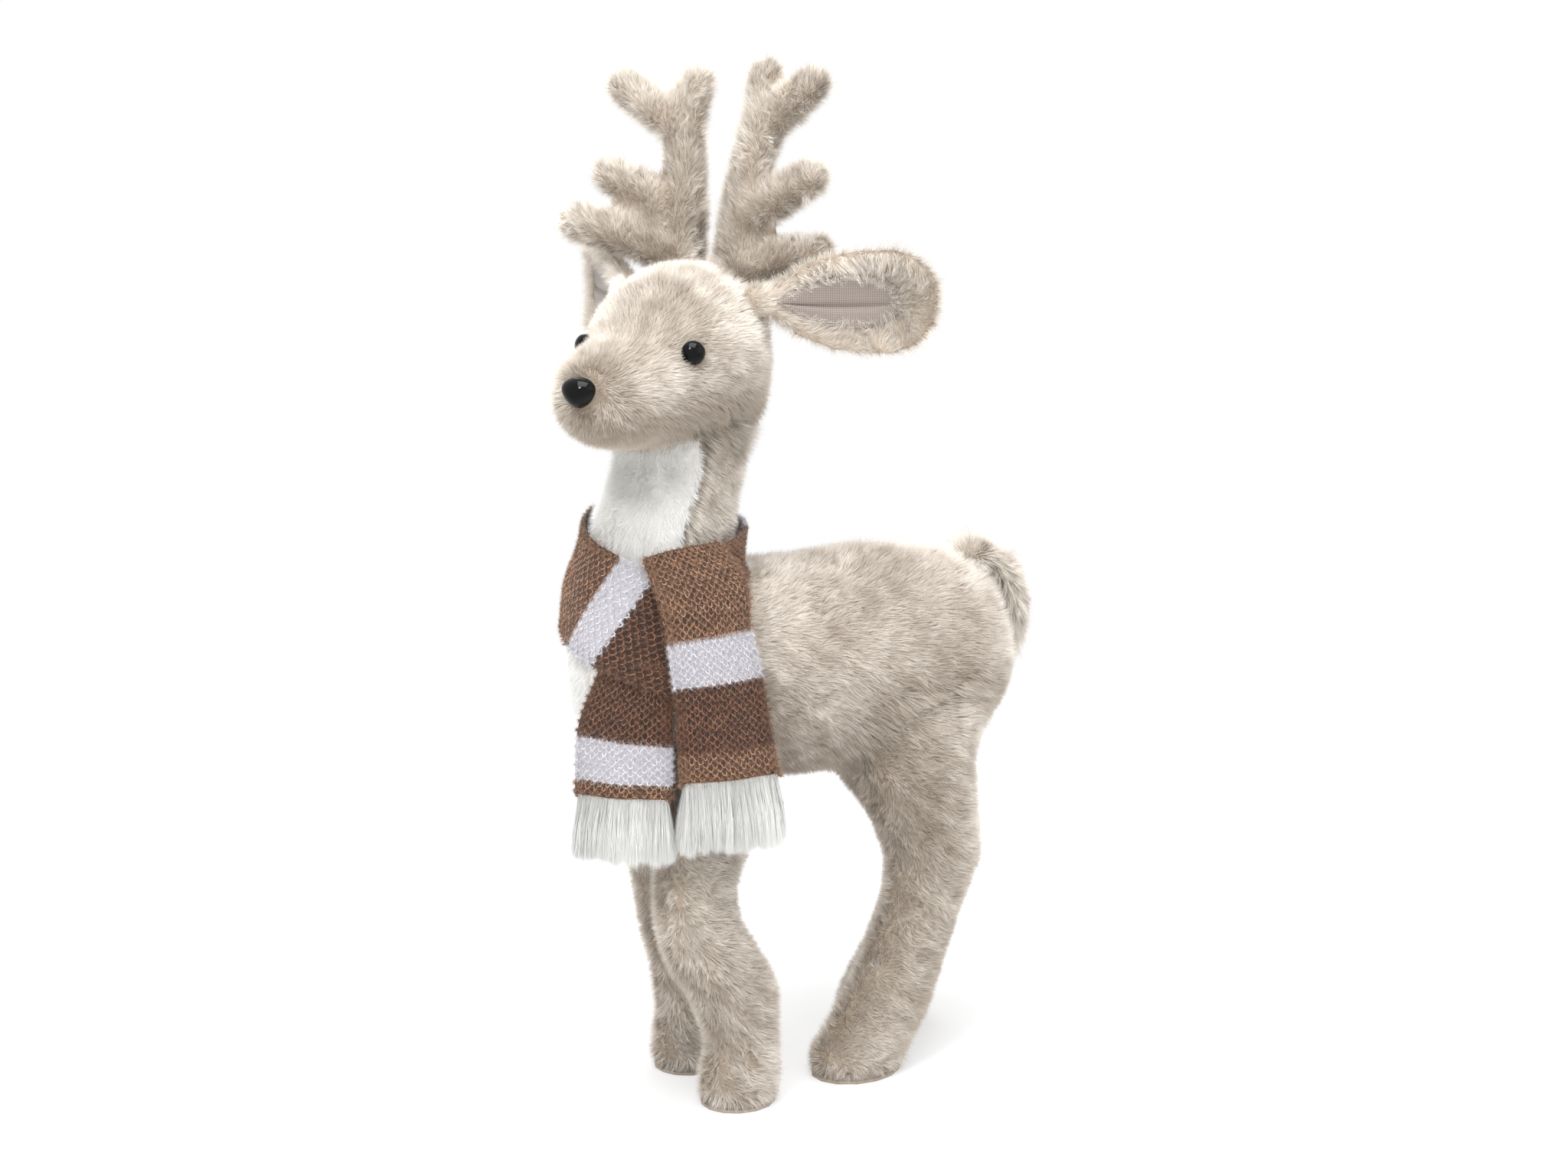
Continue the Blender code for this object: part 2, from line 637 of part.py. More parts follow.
def make_leg(leg, side):
    name = leg["name"] + "_leg_" + side
    sign = 1 if side == "left" else -1
    z, y, deep, wide = leg_rows(leg, side)
    out = sign * leg["out"]
    rings = [ellipse((out, b, a), (1, 0, 0), (0, 1, 0), w, d, LIMB_SIDES)
             for a, b, d, w in zip(z, y, deep, wide)]
    limb = add(name, loft(name, rings), FUR, WHOLE)
    boolean(limb, torso_cut)
    boolean(limb, bib_cut)

    foot = (out, y[0])
    sole_name = leg["name"] + "_sole_" + side
    sole_rings = [ellipse((*foot, level), (1, 0, 0), (0, 1, 0), wide[0], deep[0], LIMB_SIDES)
                  for level in (0.0, SOLE_THICKNESS)]
    add(sole_name, loft(sole_name, sole_rings), FUR, WHOLE)

    weight_name = leg["name"] + "_foot_weight_" + side
    weight_low = z[0] + SEAT_GAP
    weight_high = weight_low + WEIGHT_HEIGHT
    disc = turned(weight_name, ((WEIGHT_RADIUS, 0.0), (WEIGHT_RADIUS, WEIGHT_HEIGHT)))
    disc.set_sharp_from_angle(angle=SHARP_ANGLE)
    add(weight_name, disc, STEEL, WHOLE, (*foot, weight_low))
    pocket_name = weight_name + "_pocket"
    pocket_radius = WEIGHT_RADIUS + SEAT_GAP
    pocket = turned(pocket_name, ((pocket_radius, -OVERRUN), (pocket_radius, WEIGHT_HEIGHT + SEAT_GAP)))
    boolean(limb, cutter(pocket_name, pocket, WHOLE, (*foot, weight_low)))

    wire_name = leg["name"] + "_leg_wire_" + side
    inside = (z > weight_high + OVERRUN) & (z < BODY_AXIS_HEIGHT - BODY_HALF_HEIGHT)
    path = [(out, y[0], weight_high + SEAT_GAP + BORE_GAP)]
    path += [(out, b, a) for a, b in zip(z[inside], y[inside])]
    path.append((out, y[-1], BODY_AXIS_HEIGHT - BODY_HALF_HEIGHT / 2))
    path.append((sign * LEG_WIRE_TOP_OUT, y[-1], BODY_AXIS_HEIGHT))
    path = np.array(path)
    foot_end = path[0] - np.array((0, 0, SEAT_GAP + 2 * BORE_GAP))
    top_end = path[-1] + (path[-1] - path[-2]) * BORE_GAP / np.linalg.norm(path[-1] - path[-2])
    bore_path = np.vstack((foot_end, path, top_end))
    add(wire_name, wire(wire_name, path, LEG_WIRE_RADIUS), STEEL, WHOLE)
    bore = cutter(wire_name + "_bore", wire(wire_name + "_bore", bore_path, LEG_WIRE_RADIUS + BORE_GAP), WHOLE)
    boolean(limb, bore)
    boolean(torso, bore)
    return limb


for leg in (FRONT, REAR):
    for side in ("left", "right"):
        make_leg(leg, side)

# Head, turned on the neck, in a frame at the skull's centre
SKULL_Z = BODY_AXIS_HEIGHT + NECK_HEIGHT + SKULL_ABOVE_NECK
HEAD_PIVOT = empty("head_pivot", WHOLE, (0, NECK_AXIS_Y, SKULL_Z), HEAD_TURN)


def head_rings(grow=0.0):
    rows = np.array(HEAD_SHARES)
    rings = []
    for number, (place, rise, wide, high) in enumerate(rows):
        pole = number in (0, len(rows) - 1)
        ends = {0: -grow, len(rows) - 1: grow}.get(number, 0.0)
        forward = -(place * HEAD_LENGTH + ends)
        half_wide = 0.0 if pole else wide * HEAD_HALF_WIDTH + grow
        half_high = 0.0 if pole else high * HEAD_HALF_HEIGHT + grow
        centre = (0, forward, rise * HEAD_HALF_HEIGHT)
        rings.append(ellipse(centre, (1, 0, 0), (0, 0, 1), half_wide, half_high, HEAD_SIDES))
    return rings


head_skin = loft("head", head_rings())
head = add("head", head_skin, FUR, HEAD_PIVOT)
head_cut = cutter("head_cut", loft("head_cut", head_rings(SEAT_GAP)), HEAD_PIVOT)
HEAD_TREE = BVHTree.FromPolygons([corner.co.copy() for corner in head_skin.vertices],
                                 [list(face.vertices) for face in head_skin.polygons])


def on_head(azimuth, rise, start=(0, 0, 0)):
    """Where a line from inside the skull meets the head's skin, and the line's direction."""
    way = Vector((math.sin(azimuth) * math.cos(rise), -math.cos(azimuth) * math.cos(rise), math.sin(rise)))
    return HEAD_TREE.ray_cast(Vector(start), way)[0], way


z, y, deep, wide = neck_rows()
top = z > BODY_AXIS_HEIGHT + NECK_SHARES[-NECK_TOP_ROWS][0] * NECK_HEIGHT - TINY
turn_room = 2 * TURN_GAP + BIB_PROUD
socket_profile = [(r + turn_room if r > TINY else 0.0, h - SKULL_Z + turn_room)
                  for r, h in zip(wide[top], z[top])]
socket_profile.insert(0, (socket_profile[0][0], socket_profile[0][1] - OVERRUN))
boolean(head, cutter("neck_socket", turned("neck_socket", socket_profile, sides=TORSO_SIDES), HEAD_PIVOT))

# Spine wire from the rump, up the neck, into the head
corner = np.linspace(0, math.pi / 2, CORNER_POINTS)
spine = [(0, SPINE_RUMP_SHARE * BODY_LENGTH, BODY_AXIS_HEIGHT), (0, 0, BODY_AXIS_HEIGHT)]
spine += [(0, NECK_AXIS_Y + SPINE_CORNER_RADIUS * (1 - math.sin(turn)),
           BODY_AXIS_HEIGHT + SPINE_CORNER_RADIUS * (1 - math.cos(turn))) for turn in corner]
spine += [(0, NECK_AXIS_Y, BODY_AXIS_HEIGHT + NECK_HEIGHT / 2), (0, NECK_AXIS_Y, SKULL_Z)]
add("spine_wire", wire("spine_wire", spine, SPINE_WIRE_RADIUS), STEEL, WHOLE)
spine_bore_path = [(0, spine[0][1] + BORE_GAP, spine[0][2])] + spine[1:]
spine_bore = cutter("spine_bore", wire("spine_bore", spine_bore_path, SPINE_WIRE_RADIUS + BORE_GAP), WHOLE)
boolean(torso, spine_bore)
boolean(neck, spine_bore)
head_bore_profile = ((SPINE_WIRE_RADIUS + TURN_GAP, -NECK_HEIGHT / 2), (SPINE_WIRE_RADIUS + TURN_GAP, TURN_GAP))
boolean(head, cutter("head_bore", turned("head_bore", head_bore_profile), HEAD_PIVOT))


# Eyes and nose with their washers
def button_rings(radius, dome_height, width, height):
    """Dome, flat back and shank along Z, with the head's skin at zero."""
    rows = [(0.0, -SHANK_LENGTH), (SHANK_RADIUS, -SHANK_LENGTH), (SHANK_RADIUS, -SEAT_DEPTH), (radius, -SEAT_DEPTH)]
    for step in range(DOME_STEPS):
        turn = math.pi / 2 * step / DOME_STEPS
        rows.append((radius * math.cos(turn), dome_height * math.sin(turn)))
    rows.append((0.0, dome_height))
    return shaped(rows, width, height)


def shaped(rows, width, height):
    rings = []
    for radius, level in rows:
        wide, high = (width, height) if radius > SHANK_RADIUS + SEAT_GAP + TINY else (1, 1)
        rings.append(ellipse((0, 0, level), (1, 0, 0), (0, 1, 0), radius * wide, radius * high, TURNED_SIDES))
    return rings


def seat_rings(radius, width, height):
    bore = SHANK_RADIUS + SEAT_GAP
    pocket = (WASHER_RADIUS + SEAT_GAP) / min(1, height)
    low = -WASHER_DEPTH - WASHER_THICKNESS - SEAT_GAP
    rows = [(0.0, -SHANK_LENGTH - SEAT_GAP), (bore, -SHANK_LENGTH - SEAT_GAP), (bore, low), (pocket, low),
            (pocket, -WASHER_DEPTH + SEAT_GAP), (bore, -WASHER_DEPTH + SEAT_GAP), (bore, -SEAT_DEPTH - SEAT_GAP),
            (radius + SEAT_GAP, -SEAT_DEPTH - SEAT_GAP), (radius + SEAT_GAP, OVERRUN), (0.0, OVERRUN)]
    return shaped(rows, width, height)


def make_button(name, radius, dome_height, width, height, place, way):
    add(name, aimed(loft(name, button_rings(radius, dome_height, width, height)), way), BLACK, HEAD_PIVOT, place)
    seat = aimed(loft(name + "_seat", seat_rings(radius, width, height)), way)
    boolean(head, cutter(name + "_seat", seat, HEAD_PIVOT, place))
    hole = SHANK_RADIUS + SEAT_GAP
    low, high = -WASHER_DEPTH - WASHER_THICKNESS, -WASHER_DEPTH
    profile = ((hole, low), (WASHER_RADIUS, low), (WASHER_RADIUS, high), (hole, high))
    washer = name.split("_")[0] + "_washer" + name[len(name.split("_")[0]):]
    ring = aimed(turned(washer, profile, closed=True), way)
    ring.set_sharp_from_angle(angle=SHARP_ANGLE)
    add(washer, ring, NYLON, HEAD_PIVOT, place)


for side, sign in (("left", 1), ("right", -1)):
    eye_place, eye_way = on_head(sign * EYE_AZIMUTH, EYE_RISE)
    make_button("eye_" + side, EYE_RADIUS, EYE_DOME, 1, 1, eye_place, eye_way)
muzzle_axis = HEAD_SHARES[-1][1] * HEAD_HALF_HEIGHT
nose_place, nose_way = on_head(0, 0, (0, 0, muzzle_axis + NOSE_RISE))
make_button("nose", NOSE_RADIUS, NOSE_DOME, NOSE_WIDTH_SHARE, NOSE_HEIGHT_SHARE, nose_place, nose_way)

# Ears on rounded roots, with their linings
EAR_TABLE = np.array(EAR_SHARES)


def ear_frame(sweep):
    """The ear's directions along its length, towards its back, and up."""
    along = np.array((math.cos(sweep), math.sin(sweep), 0))
    back = np.array((-math.sin(sweep), math.cos(sweep), 0))
    return along, back, np.array((0, 0, 1))


def ear_point(frame, place, across, layer, proud=0.0):
    """A point of the cupped ear: layer is 1 on its back, -1 on its front, and proud is added in front."""
    to_tip, to_back, to_top = frame
    high = np.interp(place, EAR_TABLE[:, 0], EAR_TABLE[:, 1])
    thick = np.interp(place, EAR_TABLE[:, 0], EAR_TABLE[:, 2]) * EAR_HALF_THICKNESS
    cup = EAR_CUP * max(0.0, high - EAR_ROOT_SHARE) / (1 - EAR_ROOT_SHARE)
    back = layer * thick * math.sqrt(1 - across ** 4) - cup * across ** 2
    return place * EAR_LENGTH * to_tip + (back - proud) * to_back + across * high * EAR_HALF_HEIGHT * to_top


def ear_rings(frame):
    rings = []
    for place, _, _ in EAR_SHARES:
        back = [ear_point(frame, place, across, 1) for across in EAR_ACROSS_SHARES]
        front = [ear_point(frame, place, across, -1) for across in EAR_ACROSS_SHARES[-2:0:-1]]
        rings.append(np.array(back + front))
    return rings


def lining_rings(frame):
    rings = []
    for place, half in LINING_SHARES:
        back = [ear_point(frame, place, half * w, -1, LINING_GAP) for w in LINING_ACROSS_SHARES]
        front = []
        for w in LINING_ACROSS_SHARES[-2:0:-1]:
            thick = LINING_THICKNESS * math.sqrt(1 - w ** 2) if half else 0.0
            front.append(ear_point(frame, place, half * w, -1, LINING_GAP + thick))
        rings.append(np.array(back + front))
    return rings


EAR_HINGES = {}
for side, sign in (("left", 1), ("right", -1)):
    root, way = on_head(sign * EAR_AZIMUTH, EAR_RISE)
    hinge = empty("ear_hinge_" + side, HEAD_PIVOT, root + way * EAR_ROOT_PROUD)
    EAR_HINGES[side] = hinge
    mirrored = side == "right"
    frame = ear_frame(EAR_SWEEPS[side])
    add("ear_" + side, loft("ear_" + side, ear_rings(frame), mirrored), FUR, hinge)
    add("ear_lining_" + side, loft("ear_lining_" + side, lining_rings(frame), mirrored), LINING, hinge)
    socket = "ear_socket_" + side
    boolean(head, cutter(socket, ball(socket, EAR_ROOT_RADIUS + TURN_GAP), hinge))


# Antlers, each a beam with a fork and two tines
def branch(name, shares, mirrored):
    rows = np.array(shares)
    path = rows[:, :3] * ANTLER_HEIGHT
    radii = rows[:, 3] * ANTLER_RADIUS
    rings = rounded(tube_rings(path, radii, radii, (1, 0, 0), ANTLER_SIDES), path, radii, radii)
    return loft(name, rings, mirrored)


for side, tines in (("left", LEFT_TINE_SHARES), ("right", RIGHT_TINE_SHARES)):
    mirrored = side == "right"
    antler = add("antler_" + side, branch("antler_" + side, BEAM_SHARES, mirrored), FUR, HEAD_PIVOT)
    for tine, shares in tines.items():
        name = tine + "_" + side
        boolean(antler, cutter(name, branch(name, shares, mirrored), HEAD_PIVOT), "UNION")
    boolean(antler, head_cut)


# Scarf: a band round the neck and two hanging ends with fur trims
def loop_rings():
    rings = []
    half = SCARF_THICKNESS / 2
    corner = 1 - SCARF_THICKNESS / 2 / SCARF_HALF_WIDTH
    section = ((-1, 0), (-corner, -1), (0, -1), (corner, -1), (1, 0), (corner, 1), (0, 1), (-corner, 1))
    for degrees, rise, width, stand_off in smooth(LOOP_SHARES, 2):
        turn = math.radians(degrees)
        ring = []
        for up, proud in section:
            height = BODY_AXIS_HEIGHT + rise * NECK_HEIGHT + up * width * SCARF_HALF_WIDTH
            y, deep, wide = neck_at(height)
            out = np.array((math.sin(turn) / wide, -math.cos(turn) / deep, 0))
            out /= np.linalg.norm(out)
            skin = np.array((wide * math.sin(turn), y - deep * math.cos(turn), height))
            ring.append(skin + out * (stand_off * SCARF_STAND_OFF + proud * half))
        rings.append(np.array(ring))
    return rings


scarf_loop = add("scarf_loop", loft("scarf_loop", loop_rings()), KNIT, WHOLE)
boolean(scarf_loop, torso_cut)
boolean(scarf_loop, bib_cut)


def edge_points(shares, count):
    rows = smooth(shares, 4)
    length = np.concatenate(((0,), np.cumsum(np.linalg.norm(np.diff(rows, axis=0), axis=1))))
    rows = np.column_stack([np.interp(np.array(count) * length[-1], length, rows[:, k]) for k in range(3)])
    return np.column_stack((rows[:, 0] * BODY_HALF_WIDTH, -rows[:, 1] * BODY_LENGTH,
                            BODY_AXIS_HEIGHT + rows[:, 2] * NECK_HEIGHT))


def rounding(share, edge):
    """Rises from nothing at an edge to one, like a quarter circle, over a share of the width."""
    near = np.clip(np.minimum(share, 1 - share) / edge, 0, 1)
    return np.sqrt(1 - (1 - near) ** 2)


def cloth_mesh(name, front, back, thickness, down_shares, bow, origin):
    """A closed slab between two edges, bowed outwards, with rounded borders."""
    u = np.array(PANEL_ACROSS_SHARES)
    v = np.array(down_shares)
    middle = front[:, None] * (1 - u)[None, :, None] + back[:, None] * u[None, :, None]
    across = back - front
    down = np.gradient((front + back) / 2, axis=0)
    out = np.cross(down, across)
    out /= np.linalg.norm(out, axis=1)[:, None]
    swell = bow * 4 * u * (1 - u)
    middle = middle + out[:, None] * swell[None, :, None]
    edge = PANEL_ACROSS_SHARES[1]
    half = thickness / 2 * np.outer(rounding(v, v[1]), rounding(u, edge))
    build = bmesh.new()
    sheets = []
    for way in (1, -1):
        points = middle + way * half[:, :, None] * out[:, None] - np.array(origin)
        sheets.append([[build.verts.new(point) for point in row] for row in points])
    for sheet in sheets:
        for low, high in zip(sheet, sheet[1:]):
            for k in range(len(u) - 1):
                build.faces.new((low[k], low[k + 1], high[k + 1], high[k]))
    bmesh.ops.remove_doubles(build, verts=build.verts, dist=TINY)
    return finished(name, build)


SCARF_AXES = {}
SCARF_HINGES = {}
PANEL_DOWN_SHARES = (0.0, 0.022, 0.2, 0.4, 0.6, 0.8, 0.98, 1.0)
TRIM_DOWN_SHARES = (0.0, 0.08, 0.5, 0.92, 1.0)
for side, front_shares, back_shares in (("left", LEFT_END_FRONT_SHARES, LEFT_END_BACK_SHARES),
                                        ("right", RIGHT_END_FRONT_SHARES, RIGHT_END_BACK_SHARES)):
    front = edge_points(front_shares, PANEL_DOWN_SHARES)
    back = edge_points(back_shares, PANEL_DOWN_SHARES)
    hinge_place = tuple((front[0] + back[0]) / 2)
    hinge = empty("scarf_hinge_" + side, WHOLE, hinge_place)
    name = "scarf_end_" + side
    panel = cloth_mesh(name, front, back, SCARF_THICKNESS, PANEL_DOWN_SHARES, PANEL_BOW, hinge_place)
    add(name, panel, KNIT, hinge)
    fall = np.array(TRIM_DOWN_SHARES)[:, None] * np.array((0, 0, -TRIM_LENGTH))
    below = np.array((0, 0, -SEAT_GAP))
    trim_front = front[-1] + below + fall
    trim_back = back[-1] + below + fall
    name = "scarf_trim_" + side
    trim = cloth_mesh(name, trim_front, trim_back, TRIM_THICKNESS, TRIM_DOWN_SHARES, PANEL_BOW, hinge_place)
    add(name, trim, WHITE, hinge)
    SCARF_AXES[side] = (front[0] - back[0]) / np.linalg.norm(front[0] - back[0])
    SCARF_HINGES[side] = hinge

# The part's origin is under the middle of its box, on the floor
bpy.context.view_layer.update()
graph = bpy.context.evaluated_depsgraph_get()
corners = []
for piece in bpy.data.objects:
    if piece.type == "MESH" and not piece.hide_render:
        shown = piece.evaluated_get(graph)
        points = np.empty(len(shown.data.vertices) * 3)
        shown.data.vertices.foreach_get("co", points)
        world = np.array(shown.matrix_world)
        corners.append(points.reshape(-1, 3) @ world[:3, :3].T + world[:3, 3])
corners = np.vstack(corners)
middle = (corners.min(axis=0) + corners.max(axis=0)) / 2
WHOLE.location = (-middle[0], -middle[1], -corners[:, 2].min())
bpy.context.view_layer.update()
for point in (HEAD_PIVOT, TAIL_HINGE, *EAR_HINGES.values(), *SCARF_HINGES.values()):
    print(point.name, [round(a, 5) for a in point.matrix_world.translation])
for side, axis in SCARF_AXES.items():
    print("scarf axis", side, [round(float(a), 5) for a in axis])
print("size in mm", [round(float(a), 1) for a in (corners.max(axis=0) - corners.min(axis=0)) / MM])
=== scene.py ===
"""Looks of a standing plush deer: combed pile, a knitted scarf with fur ends, black buttons.

The deer looks along -Y with its head turned to its left, which is +X. The floor is z = 0.
"""

import json
import math

import bmesh
import bpy
import numpy as np
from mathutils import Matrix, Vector
from mathutils.bvhtree import BVHTree


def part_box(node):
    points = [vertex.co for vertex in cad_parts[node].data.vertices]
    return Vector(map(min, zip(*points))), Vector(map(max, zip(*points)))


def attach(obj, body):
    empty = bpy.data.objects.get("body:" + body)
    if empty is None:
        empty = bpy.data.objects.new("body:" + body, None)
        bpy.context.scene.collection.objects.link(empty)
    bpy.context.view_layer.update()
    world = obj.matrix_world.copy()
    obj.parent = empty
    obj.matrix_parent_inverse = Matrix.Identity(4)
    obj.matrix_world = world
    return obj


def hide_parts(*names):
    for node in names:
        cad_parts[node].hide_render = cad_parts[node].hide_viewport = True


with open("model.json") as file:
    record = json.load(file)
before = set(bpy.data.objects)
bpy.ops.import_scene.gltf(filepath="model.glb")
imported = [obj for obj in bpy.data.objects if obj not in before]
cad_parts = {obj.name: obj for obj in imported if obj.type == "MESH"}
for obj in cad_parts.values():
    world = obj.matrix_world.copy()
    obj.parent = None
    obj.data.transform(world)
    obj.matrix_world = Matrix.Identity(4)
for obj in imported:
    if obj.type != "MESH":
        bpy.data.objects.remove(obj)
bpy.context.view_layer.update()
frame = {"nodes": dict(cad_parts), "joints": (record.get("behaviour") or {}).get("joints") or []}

MM = 0.001
JOINTS = {joint["name"]: joint for joint in frame["joints"]}
PIVOT = np.array(JOINTS["head_turn"]["pos_m"])

# Camera
# The picture is taken from the deer's front left, a little above its back, with a long lens.
# It aims at the trunk, behind and below the pivot that the head turns on.
CAMERA_AZIMUTH = math.radians(58)
CAMERA_RISE = math.radians(12)
CAMERA_REACH = 1.65
CAMERA_AIM = PIVOT + np.array((0.036, 0.0561, -0.154))
CAMERA_LENS = 58.0


def linked(name, data):
    """A new object in the scene."""
    made = bpy.data.objects.new(name, data)
    bpy.context.scene.collection.objects.link(made)
    return made


def aim(thing, azimuth, rise, reach):
    """Stands a camera or lamp at a reach from the camera's aim, and turns it to look there.

    The azimuth runs from the deer's front to its left, and the rise is up from level.
    """
    way = Vector((math.sin(azimuth) * math.cos(rise), -math.cos(azimuth) * math.cos(rise), math.sin(rise)))
    thing.location = Vector(CAMERA_AIM) + reach * way
    thing.rotation_euler = way.to_track_quat("Z", "Y").to_euler()


lens = bpy.data.cameras.new("camera")
lens.lens = CAMERA_LENS
lens.sensor_width = 36.0
lens.clip_start = 0.05
camera = linked("camera", lens)
bpy.context.scene.camera = camera
aim(camera, CAMERA_AZIMUTH, CAMERA_RISE, CAMERA_REACH)


# Plush skins
# Each stuffed limb is a sewn skin of knitted backing cloth, filled tight with polyester fibre.
# The skin lies a few millimetres inside the limb's outer form, and the pile stands on it.
class Value:
    """A shader socket with arithmetic, so that a material reads as an expression."""

    def __init__(self, socket, tree):
        self.socket = socket
        self.tree = tree

    def math(self, operation, first, second):
        return Nodes(self.tree).node("ShaderNodeMath", {"operation": operation}, {0: first, 1: second})

    def __add__(self, other):
        return self.math("ADD", self, other)

    def __radd__(self, other):
        return self.math("ADD", other, self)

    def __sub__(self, other):
        return self.math("SUBTRACT", self, other)

    def __rsub__(self, other):
        return self.math("SUBTRACT", other, self)

    def __mul__(self, other):
        return self.math("MULTIPLY", self, other)

    def __rmul__(self, other):
        return self.math("MULTIPLY", other, self)

    def clamped(self):
        return self.math("MINIMUM", self.math("MAXIMUM", self, 0.0), 1.0)

    def beside(self, output):
        """Another output of the same node."""
        return Value(self.socket.node.outputs[output], self.tree)


class Nodes:
    """A tree of shader nodes, and the one method that adds to it."""

    def __init__(self, tree):
        self.tree = tree

    def node(self, kind, settings=(), inputs=(), output=0):
        """A node of a kind, with its settings made first, then its sockets' values or links."""
        made = self.tree.nodes.new(kind)
        for name, value in dict(settings).items():
            if name == "stops":
                while len(made.color_ramp.elements) < len(value):
                    made.color_ramp.elements.new(1.0)
                for element, (place, colour) in zip(made.color_ramp.elements, value):
                    element.position = place
                    element.color = (*colour, 1)
            else:
                setattr(made, name, value)
        for name, value in dict(inputs).items():
            if isinstance(value, Value):
                self.tree.links.new(value.socket, made.inputs[name])
            else:
                made.inputs[name].default_value = value
        return Value(made.outputs[output], self.tree)


class Finish(Nodes):
    """A Principled material under construction."""

    def __init__(self, name, roughness, inputs=()):
        self.material = bpy.data.materials.new(name)
        self.material.use_nodes = True
        super().__init__(self.material.node_tree)
        self.shader = self.tree.nodes["Principled BSDF"]
        for socket, value in {"Roughness": roughness, **dict(inputs)}.items():
            self.shader.inputs[socket].default_value = value

    def paint(self, colour):
        self.tree.links.new(colour.socket, self.shader.inputs["Base Color"])
        return self

    def bump(self, height, strength, distance):
        made = self.node("ShaderNodeBump", {}, {"Height": height, "Strength": strength, "Distance": distance})
        self.tree.links.new(made.socket, self.shader.inputs["Normal"])
        return self


def blend_colours(finish, share, first, second):
    """Goes from the first colour at share 0 to the second at share 1."""
    return finish.node("ShaderNodeMix", {"data_type": "RGBA"}, {0: share, 6: first, 7: second}, 2)


def rgba(red, green, blue):
    """A colour from its display values of 0 to 255, as the linear colour that Blender wants."""
    parts = np.array((red, green, blue)) / 255
    linear = np.where(parts < 0.04045, parts / 12.92, ((parts + 0.055) / 1.055) ** 2.4)
    return (*[float(part) for part in linear], 1.0)


def grained(name, roughness, noise, dark, light, strength, distance, inputs=()):
    """A finish whose colour and bump follow one fine noise in the piece's own place."""
    finish = Finish(name, roughness, inputs)
    place = finish.node("ShaderNodeTexCoord", output="Object")
    grain = finish.node("ShaderNodeTexNoise", {}, {"Vector": place, **noise})
    finish.paint(blend_colours(finish, grain, rgba(*dark), rgba(*light)))
    return finish.bump(grain, strength, distance)


def smooth_mesh(name, build):
    """The bmesh under construction as a smooth mesh."""
    mesh = bpy.data.meshes.new(name)
    build.to_mesh(mesh)
    build.free()
    mesh.shade_smooth()
    return mesh


def joined(nodes):
    """The named nodes' solids as one merged mesh object, which is not kept."""
    build = bmesh.new()
    for node in nodes:
        build.from_mesh(frame["nodes"][node].data)
    bmesh.ops.remove_doubles(build, verts=build.verts, dist=0.01 * MM)
    return linked("joined", smooth_mesh("joined", build))


def softened(nodes, voxel, rounds, inset=0.0):
    """A closed even mesh over the nodes: voxel remesh, then smoothing, then an inset along normals.

    Only the outermost shell is kept, so that bores and pockets inside the solids are left out.
    """
    form = joined(nodes)
    remesh = form.modifiers.new("even", "REMESH")
    remesh.mode = "VOXEL"
    remesh.voxel_size = voxel
    smooth = form.modifiers.new("smooth", "SMOOTH")
    smooth.factor = 0.5
    smooth.iterations = rounds
    graph = bpy.context.evaluated_depsgraph_get()
    build = bmesh.new()
    build.from_object(form, graph)
    bpy.data.objects.remove(form, do_unlink=True)
    left = set(build.verts)
    largest = []
    while left:
        island = []
        edge = [left.pop()]
        while edge:
            corner = edge.pop()
            island.append(corner)
            for link in corner.link_edges:
                other = link.other_vert(corner)
                if other in left:
                    left.remove(other)
                    edge.append(other)
        if len(island) > len(largest):
            largest = island
    kept = set(largest)
    bmesh.ops.delete(build, geom=[corner for corner in build.verts if corner not in kept], context="VERTS")
    build.normal_update()
    if inset:
        for corner in build.verts:
            corner.co -= corner.normal * inset
    return smooth_mesh("softened", build)


def piece(name, mesh, finish, body):
    """A new piece at the origin, which rides on a body and takes the given finish."""
    mesh.name = name
    mesh.materials.clear()
    mesh.materials.append(finish.material)
    made = linked(name, mesh)
    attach(made, body)
    return made


SKIN_VOXEL = 4.5 * MM
EAR_VOXEL = 2.4 * MM
SKIN_INSET = 3.6 * MM
EAR_INSET = 1.2 * MM
SKIN_ROUNDS = 5
BIB_VOXEL = 2 * MM
BIB_INSET = 2.3 * MM
BIB_ROUNDS = 2
CLOTH_NOISE = {"Scale": 1500.0, "Detail": 2.0}
backing = grained("plush_backing", 0.95, CLOTH_NOISE, (176, 160, 142), (196, 182, 165), 0.4, 0.6 * MM)
white_backing = grained("white_backing", 0.95, CLOTH_NOISE, (236, 234, 230), (248, 247, 244), 0.4, 0.6 * MM)

SKINS = {
    "torso": "root", "neck": "root", "head": "head", "tail": "tail",
    "front_leg_left": "root", "front_leg_right": "root", "rear_leg_left": "root", "rear_leg_right": "root",
    "antler_left": "head", "antler_right": "head", "ear_left": "ear_left", "ear_right": "ear_right",
}
for node, body in SKINS.items():
    thin = node.startswith("ear")
    mesh = softened([node], EAR_VOXEL if thin else SKIN_VOXEL, SKIN_ROUNDS, EAR_INSET if thin else SKIN_INSET)
    skin = piece(node + "_skin", mesh, backing, body)
    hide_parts(node)
bib_skin = piece("chest_bib_skin", softened(["chest_bib"], BIB_VOXEL, BIB_ROUNDS, BIB_INSET), white_backing,
                 "root")
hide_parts("chest_bib")
